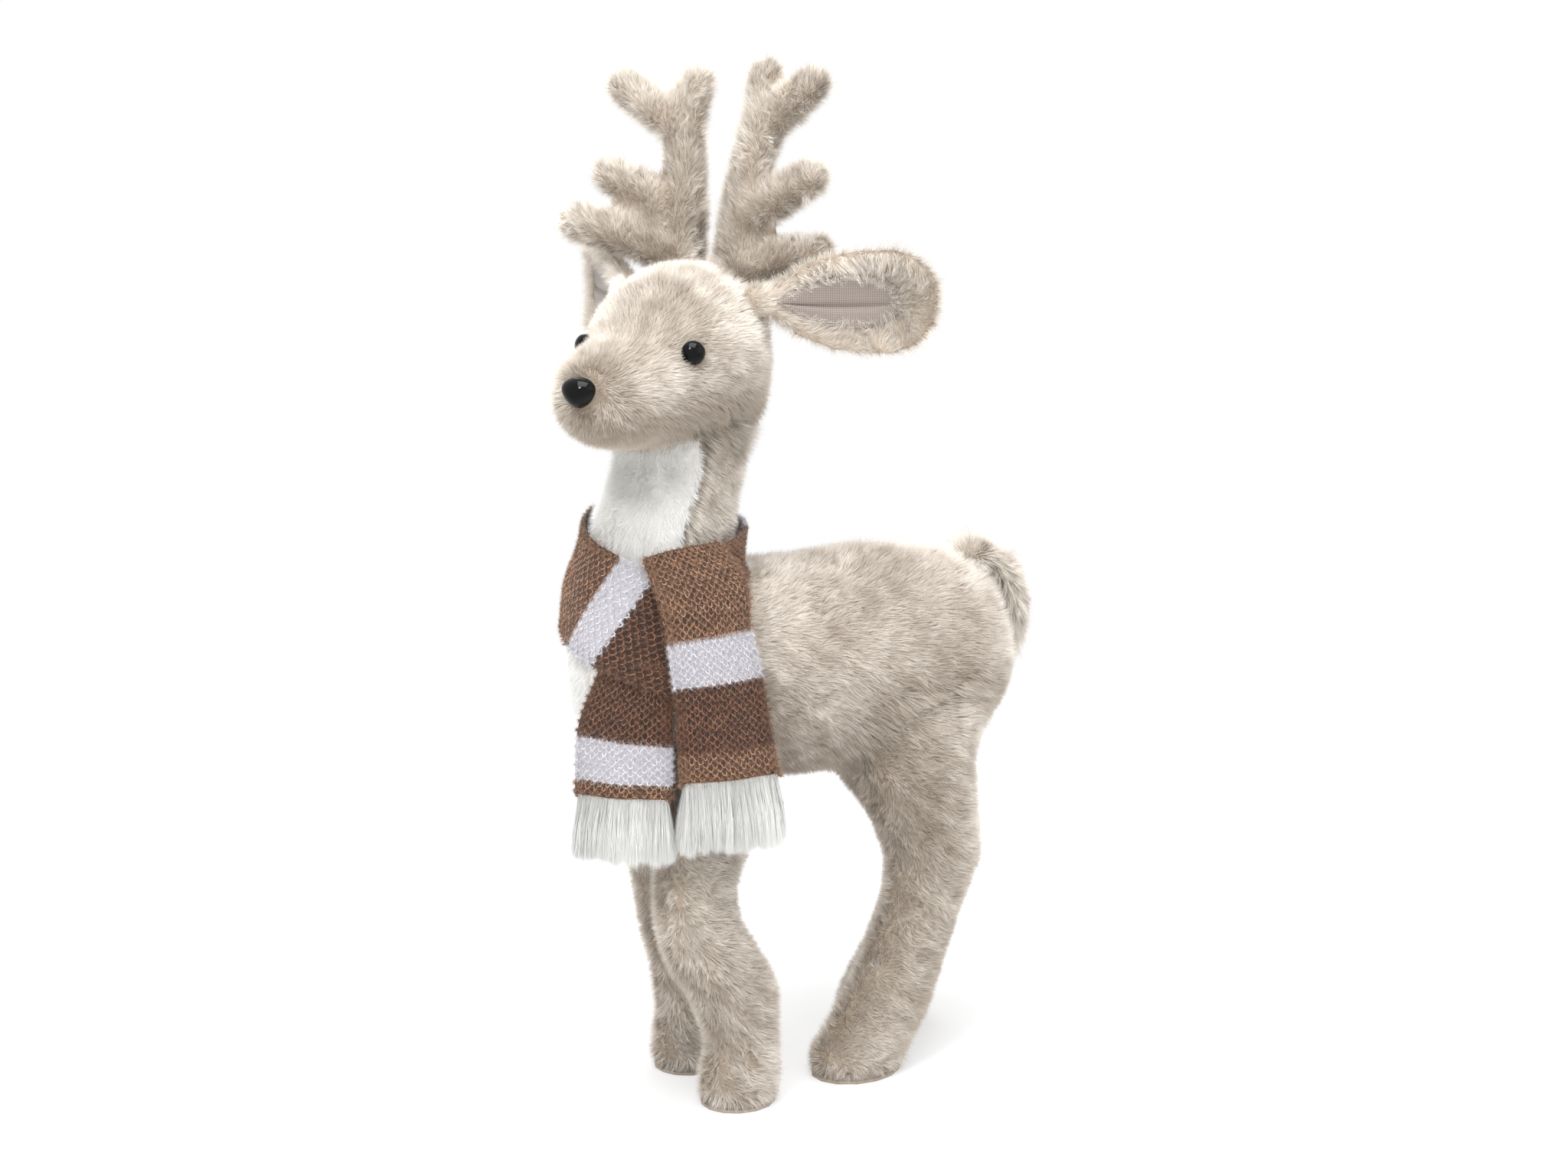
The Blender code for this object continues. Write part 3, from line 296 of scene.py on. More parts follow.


# Tan pile
# Short straight polyester pile, about 8 mm long, combed from nose to tail and down the limbs.
# Each strand is a narrow blade. Strands lean together in tufts and are darker at the root, which is painted
# shade deep in the pile.
PILE_LENGTH = 7.8 * MM
PILE_WIDTH = 0.36 * MM
PILE_SPACING = 0.73 * MM
PILE_LENGTH_SHARES = (0.8, 1.12)
PILE_LEAN = math.radians(38)
LEAN_SPREAD = math.radians(13)
ROLL_SPREAD = math.radians(35)
BLADE_WIDTH_SHARES = (0.7, 1.2)
BEND_SHARE = 0.45
BEND_WIDTH_SHARE = 0.85
TIP_STIFFNESS = 0.35
ROOT_DEPTH = 3.9 * MM
CLOUD_SIZE = 60 * MM
TUFT_SIZE = 13 * MM
WISP_SIZE = 3.2 * MM
TUFT_SHARE = 0.28
WISP_SHARE = 0.28
STANDING_SHARE = 0.45
CLOUD_TONE, TUFT_TONE, STRAND_TONE = 0.12, 0.11, 0.17
MAP_LOW, MAP_HIGH = 0.02, 0.98
MAP_MARGIN = 0.05
MAP_HALF_WIDTH = 0.004
FUR_REACH = 11 * MM
RAY_START = 1.6 * MM
COVERED_SHARE = 0.35
FLOOR_GAP = 0.3 * MM
SEAM_GAP = 1.5 * MM
FORM_VOXEL = 3.4 * MM
FORM_ROUNDS = 9
WAVES = 18

rng = np.random.default_rng(58)


def waves(points, size, parts, seed):
    """Smooth noise between about -1 and 1: the mean of sine waves in random directions."""
    draw = np.random.default_rng(seed)
    ways = draw.normal(size=(WAVES, 3)) * 2 / size
    phases = draw.uniform(0, 2 * math.pi, (parts, WAVES))
    angles = points @ ways.T
    return np.column_stack([np.sin(angles + phase).sum(axis=1) for phase in phases]) / math.sqrt(WAVES / 2)


def unit(vectors):
    """Each row over its own length."""
    vectors = np.asarray(vectors, float)
    return vectors / np.maximum(np.linalg.norm(vectors, axis=-1, keepdims=True), 1e-9)


def only(chosen, *arrays):
    """The chosen rows of each array."""
    return [array[chosen] for array in arrays]


def flat_part(vectors, normals):
    """What is left of each vector when its share along the normal is taken away."""
    return vectors - normals * (vectors * normals).sum(axis=1)[:, None]


def read(items, name, count, kind=float):
    """One value of every item of a mesh, as rows of an array."""
    values = np.empty(len(items) * count, kind)
    items.foreach_get(name, values)
    return values.reshape(-1, count)


def scattered(mesh, spacing):
    """Points spread over a mesh with their smooth normals: each face gets its share by area."""
    mesh.calc_loop_triangles()
    corners = read(mesh.loop_triangles, "vertices", 3, int)
    places = read(mesh.vertices, "co", 3)
    normals = read(mesh.vertex_normals, "vector", 3)
    a, b, c = (places[corners[:, k]] for k in range(3))
    wanted = np.linalg.norm(np.cross(b - a, c - a), axis=1) / 2 / spacing ** 2
    count = np.floor(wanted + rng.random(len(wanted))).astype(int)
    face = np.repeat(np.arange(len(count)), count)
    u, v = rng.random(len(face)), rng.random(len(face))
    over = u + v > 1
    u[over], v[over] = 1 - u[over], 1 - v[over]
    shares = np.column_stack((1 - u - v, u, v))[:, :, None]
    return (places[corners[face]] * shares).sum(axis=1), unit((normals[corners[face]] * shares).sum(axis=1))


def tree_of(nodes):
    """A search tree over the named nodes' solids."""
    points = []
    faces = []
    for node in nodes:
        mesh = frame["nodes"][node].data
        faces += [[index + len(points) for index in face.vertices] for face in mesh.polygons]
        points += [corner.co.copy() for corner in mesh.vertices]
    return BVHTree.FromPolygons(points, faces)


def clear_ahead(points, ways, tree, reach):
    """How far each point is from what the tree holds, straight along its way, up to a reach."""
    hits = [tree.ray_cast(Vector(point), Vector(way), reach)[3] for point, way in zip(points, ways)]
    return np.array([reach if hit is None else hit for hit in hits])


def triangles(name, points, faces):
    """A mesh of loose triangles from whole arrays."""
    mesh = bpy.data.meshes.new(name)
    mesh.vertices.add(len(points))
    mesh.vertices.foreach_set("co", points.astype(np.float32).ravel())
    mesh.loops.add(faces.size)
    mesh.loops.foreach_set("vertex_index", faces.astype(np.int32).ravel())
    mesh.polygons.add(len(faces))
    mesh.polygons.foreach_set("loop_start", np.arange(0, faces.size, 3, dtype=np.int32))
    mesh.polygons.foreach_set("loop_total", np.full(len(faces), 3, np.int32))
    mesh.update(calc_edges=True)
    mesh.shade_smooth()
    return mesh


def map_onto(mesh, across, along, name="OFBake"):
    """Gives each corner of the mesh its vertex's spot on the map."""
    spots = np.stack(np.broadcast_arrays(across, along), axis=-1).reshape(-1, 2)
    corners = read(mesh.loops, "vertex_index", 1, np.int32)[:, 0]
    mesh.uv_layers.new(name=name).data.foreach_set("uv", spots[corners].astype(np.float32).ravel())


def blades(name, roots, normals, nap, lengths, width, lean, tones, depth, droop=None, spread=LEAN_SPREAD):
    """Blades with a point: straight ones, or where droop is given, bent towards it about half way up.

    A blade starts at a depth under the skin and leans from the normal to the nap. Its side is
    square to both, rolled by a random turn. The map holds the tone across and the rise up.
    """
    count = len(roots)
    leans = lean + rng.normal(0, spread, count)[:, None]
    way = unit(normals * np.cos(leans) + nap * np.sin(leans))
    roll = rng.normal(0, ROLL_SPREAD, count)[:, None]
    half = unit(np.cross(nap, normals) * np.cos(roll) + normals * np.sin(roll)) * width / 2
    half *= rng.uniform(*BLADE_WIDTH_SHARES, count)[:, None]
    base = roots - normals * depth
    if droop is None:
        points = (base - half, base + half, base + way * lengths[:, None])
        corners = ((0, 1, 2),)
        turns = (-1, 1, 0)
        rises = (MAP_LOW, MAP_LOW, MAP_HIGH)
    else:
        middle = base + way * lengths[:, None] * BEND_SHARE
        tip = middle + unit(way * TIP_STIFFNESS + droop) * lengths[:, None] * (1 - BEND_SHARE)
        bend = half * BEND_WIDTH_SHARE
        points = (base - half, base + half, middle + bend, middle - bend, tip)
        corners = ((0, 1, 2), (0, 2, 3), (3, 2, 4))
        turns = (-1, 1, 1, -1, 0)
        rises = (MAP_LOW, MAP_LOW, BEND_SHARE + MAP_LOW, BEND_SHARE + MAP_LOW, MAP_HIGH)
    points = np.stack(points, axis=1)
    points[:, :, 2] = np.maximum(points[:, :, 2], FLOOR_GAP)
    each = points.shape[1]
    first = each * np.arange(count)[:, None, None]
    mesh = triangles(name, points.reshape(-1, 3), (first + np.array(corners)[None]).reshape(-1, 3))
    across = tones[:, None] * (1 - 2 * MAP_MARGIN) + MAP_MARGIN
    map_onto(mesh, across + MAP_HALF_WIDTH * np.array(turns), rises)
    return mesh


def pile_finish(name, root_colours, tip_colours, root_end):
    """A pile's colour: dark at the root, as painted shade deep in the pile, light from root_end on, and both
    move with the tone.
    """
    finish = Finish(name, 0.7, {"Specular IOR Level": 0.3})
    spot = finish.node("ShaderNodeUVMap", {"uv_map": "OFBake"})
    tone = finish.node("ShaderNodeSeparateXYZ", {}, {"Vector": spot})
    rise = (tone.beside("Y") * (1 / root_end)).clamped()
    root = blend_colours(finish, tone, *root_colours)
    tip = blend_colours(finish, tone, *tip_colours)
    return finish.paint(blend_colours(finish, rise, root, tip))


def coat(form, spacing, length):
    """Roots on a form, with normals and lengths: none in the seams, and shorter under the scarf."""
    points, normals = scattered(form, spacing)
    start = points + normals * RAY_START
    open_air = clear_ahead(start, normals, SOLIDS, FUR_REACH) > SEAM_GAP
    points, normals, start = only(open_air, points, normals, start)
    covered = clear_ahead(start, normals, SCARF, FUR_REACH) < FUR_REACH
    lengths = length * rng.uniform(*PILE_LENGTH_SHARES, len(points))
    lengths[covered] *= COVERED_SHARE
    return points, normals, lengths


def combed(points, normals, flow, share=1.0):
    """The nap: the flow laid onto the skin, bent by tufts and finer wisps.

    It is shorter than 1 where the flow runs straight out of the skin, so that the pile stands up there.
    """
    tufts = TUFT_SHARE * waves(points, TUFT_SIZE, 3, 11)
    wisps = WISP_SHARE * waves(points, WISP_SIZE, 3, 12)
    laid = flat_part(unit(flow) + share * (tufts + wisps), normals)
    return unit(laid) * np.clip(np.linalg.norm(laid, axis=1) / STANDING_SHARE, 0.02, 1)[:, None]


def tones_at(points, light=0.0):
    """How light each strand is: broad clouds, tufts and a draw of its own."""
    cloud = CLOUD_TONE * waves(points, CLOUD_SIZE, 1, 21)[:, 0]
    tuft = TUFT_TONE * waves(points, TUFT_SIZE * 0.7, 1, 22)[:, 0]
    return np.clip(0.5 + light + cloud + tuft + rng.normal(0, STRAND_TONE, len(points)), 0, 1)


def closeness(points, node, reach):
    """How near each point is to a node's solid: 1 on it, 0 from the reach on."""
    tree = tree_of([node])
    far = np.array([tree.find_nearest(Vector(point))[3] for point in points])
    return np.clip(1 - far / reach, 0, 1)


def nearest_of(points, nodes):
    """For each point, the number of the node whose solid lies nearest."""
    trees = [tree_of([node]) for node in nodes]
    far = [[tree.find_nearest(Vector(point))[3] for tree in trees] for point in points]
    return np.array(far).argmin(axis=1)


tan_pile = pile_finish("tan_pile", (rgba(122, 107, 91), rgba(198, 186, 171)),
                       (rgba(186, 174, 160), rgba(253, 248, 241)), 0.6)


def pile(name, body, strands, tones, lean=PILE_LEAN, depth=ROOT_DEPTH, finish=tan_pile):
    """The piece of pile over a node, from its strands' roots, normals, nap and lengths."""
    piece(name + "_pile", blades(name, *strands, PILE_WIDTH, lean, tones, depth), finish, body)


SOLIDS = tree_of(SKINS)
SCARF = tree_of(["scarf_loop", "scarf_end_left", "scarf_end_right"])
BODY_NODES = ["torso", "neck", "chest_bib", "front_leg_left", "front_leg_right", "rear_leg_left",
              "rear_leg_right"]
SOLES = ["front_sole_left", "front_sole_right", "rear_sole_left", "rear_sole_right"]
SOLE_HEIGHT = 8 * MM
SOLE_SLOPE = -0.75
BACK_COMB = (0.0, 1.0, -0.32)
NECK_COMB = (0.0, 0.45, -1.0)
PARTING_SHADE = 0.28
UNDER_SHADE = 0.6
TOP_LIGHT = 0.16
LEG_SHADE = 0.02
HEM_SHADE = 0.15
NECK_LIGHT = 0.06
HEM_HEIGHT = 14 * MM
NECK_FILL_REACH = 22 * MM
TAIL_FILL_REACH = 30 * MM
JOINT_FILL_REACH = 22 * MM
BIB_SEAM_REACH = 6 * MM
FILL_GROWTH, SEAM_GROWTH, CROTCH_GROWTH = 1.4, 0.5, 1.2
FILL_RISE = 0.6
HEM_DROOP = 2.5
TRUNK_TUFTS, LEG_TUFTS = 0.75, 1.0
PARTING_FROM = 0.75
UNDER_SLOPE, BEHIND_SLOPE = -0.15, 0.2

body_form = softened(BODY_NODES + SOLES, FORM_VOXEL, FORM_ROUNDS)
roots, normals, lengths = coat(body_form, PILE_SPACING, PILE_LENGTH)
walls = (normals[:, 2] > SOLE_SLOPE) | (roots[:, 2] > SOLE_HEIGHT)
roots, normals, lengths = only(walls, roots, normals, lengths)
owner = nearest_of(roots, BODY_NODES)
torso, neck, bib = (owner == number for number in range(3))
legs = owner >= BODY_NODES.index("front_leg_left")
flow = np.tile(BACK_COMB, (len(roots), 1))
flow[neck] = NECK_COMB
facing_flow = -(normals * unit(flow)).sum(axis=1)
against = np.clip((facing_flow - PARTING_FROM) / (1 - PARTING_FROM), 0, 1)
hem = np.clip(1 - roots[:, 2] / HEM_HEIGHT, 0, 1)
fill = np.zeros(len(roots))
fill[neck] = closeness(roots[neck], "head", NECK_FILL_REACH)
rump = torso & (roots[:, 1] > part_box("tail")[0][1] - TAIL_FILL_REACH)
fill[rump] = closeness(roots[rump], "tail", TAIL_FILL_REACH)
crotch = np.zeros(len(roots))
under_rump = torso & (normals[:, 2] < UNDER_SLOPE) & (roots[:, 1] > PIVOT[1])
behind_leg = (owner >= BODY_NODES.index("rear_leg_left")) & (normals[:, 1] > BEHIND_SLOPE)
crotch[under_rump] = np.maximum(*(closeness(roots[under_rump], node, JOINT_FILL_REACH)
                                  for node in ("rear_leg_left", "rear_leg_right")))
crotch[behind_leg] = closeness(roots[behind_leg], "torso", JOINT_FILL_REACH)
seam = np.zeros(len(roots))
seam[~bib] = closeness(roots[~bib], "chest_bib", BIB_SEAM_REACH)
lengths *= 1 + FILL_GROWTH * fill + SEAM_GROWTH * seam + CROTCH_GROWTH * crotch
flow[:, 2] -= HEM_DROOP * hem
nap = combed(roots, normals, flow, np.where(legs, LEG_TUFTS, TRUNK_TUFTS)[:, None])
nap *= 1 - FILL_RISE * fill[:, None]
shade = PARTING_SHADE * against + UNDER_SHADE * np.clip(0.1 - normals[:, 2], 0, 1) + HEM_SHADE * hem
light = TOP_LIGHT * np.clip(normals[:, 2], 0, 1) - LEG_SHADE * legs + NECK_LIGHT * neck
tones = tones_at(roots, light - shade)
left_half = roots[:, 0] > PIVOT[0]
shares = {"torso_left": torso & left_half, "torso_right": torso & ~left_half}
for number, node in enumerate(BODY_NODES):
    if node not in ("torso", "chest_bib"):
        shares[node] = owner == number
for name, chosen in shares.items():
    pile(name, "root", only(chosen, roots, normals, nap, lengths), tones[chosen])


# Head and antler pile
# The same cloth on the head and antlers, combed back from the nose and out along the tines.
# The crown is lightest, because the light catches its tips.
HEAD_NODES = ["head", "antler_left", "antler_right"]
NOSE_PLACE = np.mean(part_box("nose"), axis=0)
EYE_PLACES = [np.mean(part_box(node), axis=0) for node in ("eye_left", "eye_right")]
BUTTON_CLEARINGS = ((NOSE_PLACE, 9.4 * MM), (EYE_PLACES[0], 5.6 * MM), (EYE_PLACES[1], 5.6 * MM))
BUTTON_REACH = 22 * MM
RING_WIDTH = 5 * MM
NAPE_REACH = 22 * MM
EAR_ROOT_REACH = 12 * MM
HEAD_ROUNDS = 6
HEAD_SPACING = PILE_SPACING * 0.95
HEAD_LENGTH_SHARE = 0.94
NAPE_GROWTH, EAR_ROOT_GROWTH = 0.75, 0.6
CHIN_SHADE, NAPE_SHADE = 1.3, 0.8
ANTLER_LIGHT, STANDING_LIGHT = 0.1, 0.3
HEAD_TUFTS, ANTLER_TUFTS = 0.55, 1.1
HEAD_DROOP, NAPE_DROOP, TINE_LIFT = (0.0, 0.0, -0.35), (0.0, 0.0, -3.0), (0.0, 0.0, 0.25)
RING_LEAN_SHARE = 0.4

roots, normals, lengths = coat(softened(HEAD_NODES, FORM_VOXEL, HEAD_ROUNDS), HEAD_SPACING, PILE_LENGTH)
owner = nearest_of(roots, HEAD_NODES)
skull = owner == 0
nape = np.zeros(len(roots))
nape[skull] = closeness(roots[skull], "neck", NAPE_REACH)
beside_ear = np.zeros(len(roots))
for side in ("left", "right"):
    beside_ear[skull] = np.maximum(beside_ear[skull], closeness(roots[skull], "ear_" + side, EAR_ROOT_REACH))
lengths[skull] *= HEAD_LENGTH_SHARE
lengths *= 1 + NAPE_GROWTH * nape + EAR_ROOT_GROWTH * beside_ear
flow = unit(roots - NOSE_PLACE) + HEAD_DROOP + nape[:, None] * NAPE_DROOP
for number, side in ((1, "left"), (2, "right")):
    low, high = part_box("antler_" + side)
    foot = np.array(((low[0] + high[0]) / 2, (low[1] + high[1]) / 2, low[2]))
    flow[owner == number] = unit(roots[owner == number] - foot) + TINE_LIFT
nap = combed(roots, normals, flow, np.where(skull, HEAD_TUFTS, ANTLER_TUFTS)[:, None])
standing = 1 - np.linalg.norm(nap, axis=1)
under = np.clip(-normals[:, 2] - 0.05, 0, 1)
light = np.where(skull, -CHIN_SHADE * under - NAPE_SHADE * nape, ANTLER_LIGHT + STANDING_LIGHT * standing)
tones = tones_at(roots, light)
covered = np.zeros(len(roots), bool)
for place, radius in BUTTON_CLEARINGS:
    away = flat_part(roots - place, unit(np.tile(place - PIVOT, (len(roots), 1))))
    far = np.linalg.norm(away, axis=1)
    close = np.linalg.norm(roots - place, axis=1) < BUTTON_REACH
    nap[close & (far >= radius) & (far < radius + RING_WIDTH)] *= RING_LEAN_SHARE
    covered |= close & (far < radius)
for number, node in enumerate(HEAD_NODES):
    chosen = (owner == number) & ~covered
    pile(node, "head", only(chosen, roots, normals, nap, lengths), tones[chosen])


# Ear pile and lining
# Plush on the back and round the rim of each ear. The rim's pile curls in over a lining of
# smooth woven cloth, which is sewn in under it and creased along the middle.
EAR_SPAN = 117 * MM
LINING_START_SHARE = 0.09
LINING_SPAN_SHARE = 0.70
LINING_LENGTH = EAR_SPAN * LINING_SPAN_SHARE
LINING_HALF = 18.5 * MM
LINING_RISE = 2.0 * MM
LINING_THICKNESS = 0.7 * MM
CREASE_DEPTH = 2.6 * MM
CREASE_SHARE = 0.11
CREASE_OFFSET_SHARE = 0.18
LINING_ROWS, LINING_COLUMNS = 60, 33
WEAVE_PITCH = 1.1 * MM
WAVE_SCALE = 0.314 / WEAVE_PITCH
EAR_PROBE = 50 * MM
EAR_PROBE_REACH = 100 * MM
EAR_ROUNDS = 3
EAR_ROOT_DEPTH = 2.8 * MM
EAR_LEAN = PILE_LEAN * 0.95
EAR_GROWTH, EAR_TIP_GROWTH = 0.12, 0.25
CURL_LIGHT, BRIM_LIGHT = 0.3, 0.2
LINED_REACH, LINED_HALF, LINED_SLOPE = 0.93, 0.9, 0.1


def lining_half(place):
    """Half height of the lining: a quarter sine from its point, closed by a blunt round end."""
    place = np.clip(place, 0, 1)
    return LINING_HALF * np.sin(np.minimum(place / 0.7, 1) * math.pi / 2) ** 0.9 * np.sqrt(1 - place ** 5)


def grid_faces(rows, columns, closed=False):
    """Quads of a grid, row by row, joined at the last column where it is closed."""
    row = np.arange(rows - 1)[:, None]
    column = np.arange(columns if closed else columns - 1)[None, :]
    beside = (column + 1) % columns
    here, below = row * columns, (row + 1) * columns
    corners = np.broadcast_arrays(here + column, here + beside, below + beside, below + column)
    return np.stack(corners, axis=-1).reshape(-1, 4)


def grid_mesh(name, points, faces, spots=None):
    """A smooth mesh of quads, with its map where spots are given."""
    mesh = bpy.data.meshes.new(name)
    mesh.from_pydata(points.reshape(-1, 3).tolist(), [], faces.tolist())
    mesh.update()
    mesh.shade_smooth()
    if spots is not None:
        map_onto(mesh, *spots, "cloth")
    return mesh


def thickened(thing, thickness, offset=0.0):
    """Gives a sheet its thickness on both sides of its middle."""
    wall = thing.modifiers.new("thickness", "SOLIDIFY")
    wall.thickness = thickness
    wall.offset = offset


lining_cloth = Finish("woven_lining", 0.6, {"Sheen Weight": 0.25})
spot = lining_cloth.node("ShaderNodeUVMap", {"uv_map": "cloth"})
rib = lining_cloth.node("ShaderNodeTexWave", {"bands_direction": "Y"},
                        {"Vector": spot, "Scale": WAVE_SCALE, "Distortion": 0.4})
cross = lining_cloth.node("ShaderNodeTexWave", {"bands_direction": "X"},
                          {"Vector": spot, "Scale": WAVE_SCALE / 1.3, "Distortion": 0.6})
weave = rib * 0.5 + cross * 0.5
lining_cloth.paint(blend_colours(lining_cloth, weave, rgba(106, 95, 88), rgba(158, 147, 139)))
lining_cloth.bump(weave, 0.5, 0.0004)

for side, sign in (("left", 1), ("right", -1)):
    hinge = np.array(JOINTS["ear_" + side + "_flap"]["pos_m"])
    front = sign * np.array(JOINTS["ear_" + side + "_flap"]["axis"])
    up = np.array((0.0, 0.0, 1.0))
    along = sign * np.cross(up, front)
    ear = tree_of(["ear_" + side])
    place = np.linspace(0, 1, LINING_ROWS)[:, None]
    across = np.linspace(-1, 1, LINING_COLUMNS)[None, :]
    stand = (hinge + along * EAR_SPAN * (LINING_START_SHARE + LINING_SPAN_SHARE * place)[..., None]
             + up * (across * lining_half(place))[..., None] + front * EAR_PROBE)
    inwards = np.tile(-front, (stand.size // 3, 1))
    depth = clear_ahead(stand.reshape(-1, 3), inwards, ear, EAR_PROBE_REACH).reshape(stand.shape[:2])
    depth = np.where(depth > EAR_PROBE_REACH * 0.9, EAR_PROBE, depth)
    tuck = 1 - np.maximum(np.abs(across) ** 6, place ** 12)
    crease = np.exp(-((across + CREASE_OFFSET_SHARE) / CREASE_SHARE) ** 2) * np.sin(math.pi * place) ** 0.5
    surface = stand - front * (depth - LINING_RISE * tuck + CREASE_DEPTH * crease)[..., None]
    spots = (place * LINING_LENGTH, across * lining_half(place))
    lining = piece("ear_lining_" + side + "_cloth",
                   grid_mesh("lining", surface, grid_faces(LINING_ROWS, LINING_COLUMNS)[:, ::sign], spots),
                   lining_cloth, "ear_" + side)
    thickened(lining, LINING_THICKNESS)
    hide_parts("ear_lining_" + side)

    ear_form = softened(["ear_" + side], EAR_VOXEL, EAR_ROUNDS)
    roots, normals, lengths = coat(ear_form, PILE_SPACING * 0.9, PILE_LENGTH)
    outward = normals @ front
    reach = ((roots - hinge) @ along) / EAR_SPAN
    inner = (reach - LINING_START_SHARE) / LINING_SPAN_SHARE
    beside = np.abs((roots - hinge) @ up) / np.maximum(lining_half(inner), 1 * MM)
    lined = (outward > LINED_SLOPE) & (inner > 0) & (inner < LINED_REACH) & (beside < LINED_HALF)
    roots, normals, lengths, outward, inner = only(~lined, roots, normals, lengths, outward, inner)
    inwards = unit(hinge + along * EAR_SPAN / 2 - roots)
    # On the cup's side the pile curls inwards over the lining's edge. On the brim it turns to the front.
    curl = np.clip(outward * 1.5, 0, 1)[:, None]
    brim = np.clip(1 - np.abs(outward) * 1.6, 0, 1)[:, None]
    flow = along * (1 - 0.5 * curl) + curl * inwards * 1.3 + brim * (front * 1.2 - inwards * 0.3)
    lengths *= 1 + (EAR_GROWTH + EAR_TIP_GROWTH * np.clip(inner, 0, 1)) * np.maximum(curl, brim)[:, 0]
    nap = combed(roots, normals, flow, 1.0)
    tones = tones_at(roots, CURL_LIGHT * curl[:, 0] + BRIM_LIGHT * brim[:, 0])
    pile("ear_" + side, "ear_" + side, (roots, normals, nap, lengths), tones, EAR_LEAN, EAR_ROOT_DEPTH)


# Tail pile
# A lobe of the same plush, combed from its root to its tip. On the side towards the rump the
# strands are longer, so that they close the hollow between the two.
TAIL_VOXEL = 3 * MM
TAIL_ROUNDS = 4
TAIL_FULLNESS = 2.6 * MM
TAIL_LENGTH = PILE_LENGTH * 1.25
TAIL_GROWTH = 1.7
TAIL_RISE = 0.6
TAIL_TUFTS = 1.2
TAIL_LIGHT, TAIL_INNER_LIGHT = 0.1, 0.22
TOWARDS_RUMP = unit((0.0, -1.0, -0.3))
TAIL_COMB = (0.0, 0.1, -0.6)
hinge = np.array(JOINTS["tail_lift"]["pos_m"])
tail_form = softened(["tail"], TAIL_VOXEL, TAIL_ROUNDS, -TAIL_FULLNESS)
roots, normals, lengths = coat(tail_form, PILE_SPACING, TAIL_LENGTH)
inner = np.clip(normals @ TOWARDS_RUMP, 0, 1)
lengths *= 1 + TAIL_GROWTH * inner
nap = combed(roots, normals, unit(roots - hinge) + TAIL_COMB, TAIL_TUFTS) * (1 - TAIL_RISE * inner[:, None])
tones = tones_at(roots, TAIL_LIGHT + TAIL_INNER_LIGHT * inner)
pile("tail", "tail", (roots, normals, nap, lengths), tones, depth=ROOT_DEPTH + TAIL_FULLNESS)


# White bib pile
# A panel of short white plush, seamed into the front of the neck and chest. Only its outer side
# carries pile.
BIB_LENGTH = 7.4 * MM
BIB_DEPTH = 3.2 * MM
BIB_SPACING = 0.62 * MM
BIB_FORM_VOXEL = 2.2 * MM
BIB_FORM_ROUNDS = 3
BIB_COMB = (0.0, 0.15, -1.0)
BIB_TUFTS = 0.8
OUTSIDE_SLOPE = 0.3
NECK_MIDDLE = np.array((PIVOT[0], PIVOT[1] + 30 * MM, 0))
# The bib's greyer roots are painted shade deep in the white pile.
white_pile = pile_finish("white_pile", (rgba(224, 222, 217), rgba(243, 241, 238)),
                         (rgba(251, 250, 248), rgba(255, 255, 254)), 0.6)
bib_form = softened(["chest_bib"], BIB_FORM_VOXEL, BIB_FORM_ROUNDS)
roots, normals, lengths = coat(bib_form, BIB_SPACING, BIB_LENGTH)
inward = unit((NECK_MIDDLE - roots) * (1, 1, 0))
outside = (normals * inward).sum(axis=1) < OUTSIDE_SLOPE
roots, normals, lengths = only(outside, roots, normals, lengths)
nap = combed(roots, normals, np.tile(BIB_COMB, (len(roots), 1)), BIB_TUFTS)
pile("chest_bib", "root", (roots, normals, nap, lengths), tones_at(roots), depth=BIB_DEPTH, finish=white_pile)


# Knitted scarf
# A loose knit in brown and white bands, worked in mohair yarn: rows of interlocked loops about
# 5 mm wide, with a halo of loose fibres. One strip goes round the neck, and an end hangs at each side.
STITCH_WIDTH = 5.4 * MM
STITCH_HEIGHT = 2.75 * MM
LOOP_REACH_SHARE = 0.63
LOOP_DEPTH = 0.7 * MM
YARN_RADIUS = 0.36 * MM
YARN_STEPS = 12
YARN_SIDES = 4
YARN_END_SHARE = 0.15
LOOP_SQUARENESS = 1.3
GROUND_THICKNESS = 0.8 * MM
GROUND_BEHIND = 0.5 * MM
GROUND_SHADE = 0.05
FIBRE_LENGTH = 3.8 * MM
FIBRE_WIDTH = 0.19 * MM
FIBRE_LENGTH_SHARES = (0.45, 1.1)
FIBRE_FLECK = 0.04
FIBRES_A_STITCH = 84
EDGE_SHARE = 0.10
EDGE_DIVISION = 12
HEM_SHARE = 0.05
OUTER_SHARE = 0.72
STITCH_FLECK = 0.2
WOBBLE_ACROSS, WOBBLE_DOWN = 0.045, 0.09
YARN_FLECK, COURSE_FLECK = 0.03, 0.015
SHADE_MIDDLE, SHADE_SWING, SHADE_FLECK = 0.46, 0.42, 0.2
DARK, MEDIUM, PALE = 0.14, 0.30, 0.80
WHITE_FROM = 0.5
MAP_TURN = 0.003


def curve(points, per_span):
    """Points along a Catmull-Rom curve through the given rows, so many to a span."""
    points = np.asarray(points, float)
    ends = np.vstack((2 * points[0] - points[1], points, 2 * points[-1] - points[-2]))
    t = np.linspace(0, 1, per_span, endpoint=False)[:, None]
    spans = [b + ((c - a) * t + (2 * a - 5 * b + 4 * c - d) * t ** 2 + (3 * b - 3 * c + d - a) * t ** 3) / 2
             for a, b, c, d in zip(ends, ends[1:], ends[2:], ends[3:])]
    return np.vstack(spans + [points[-1:]])


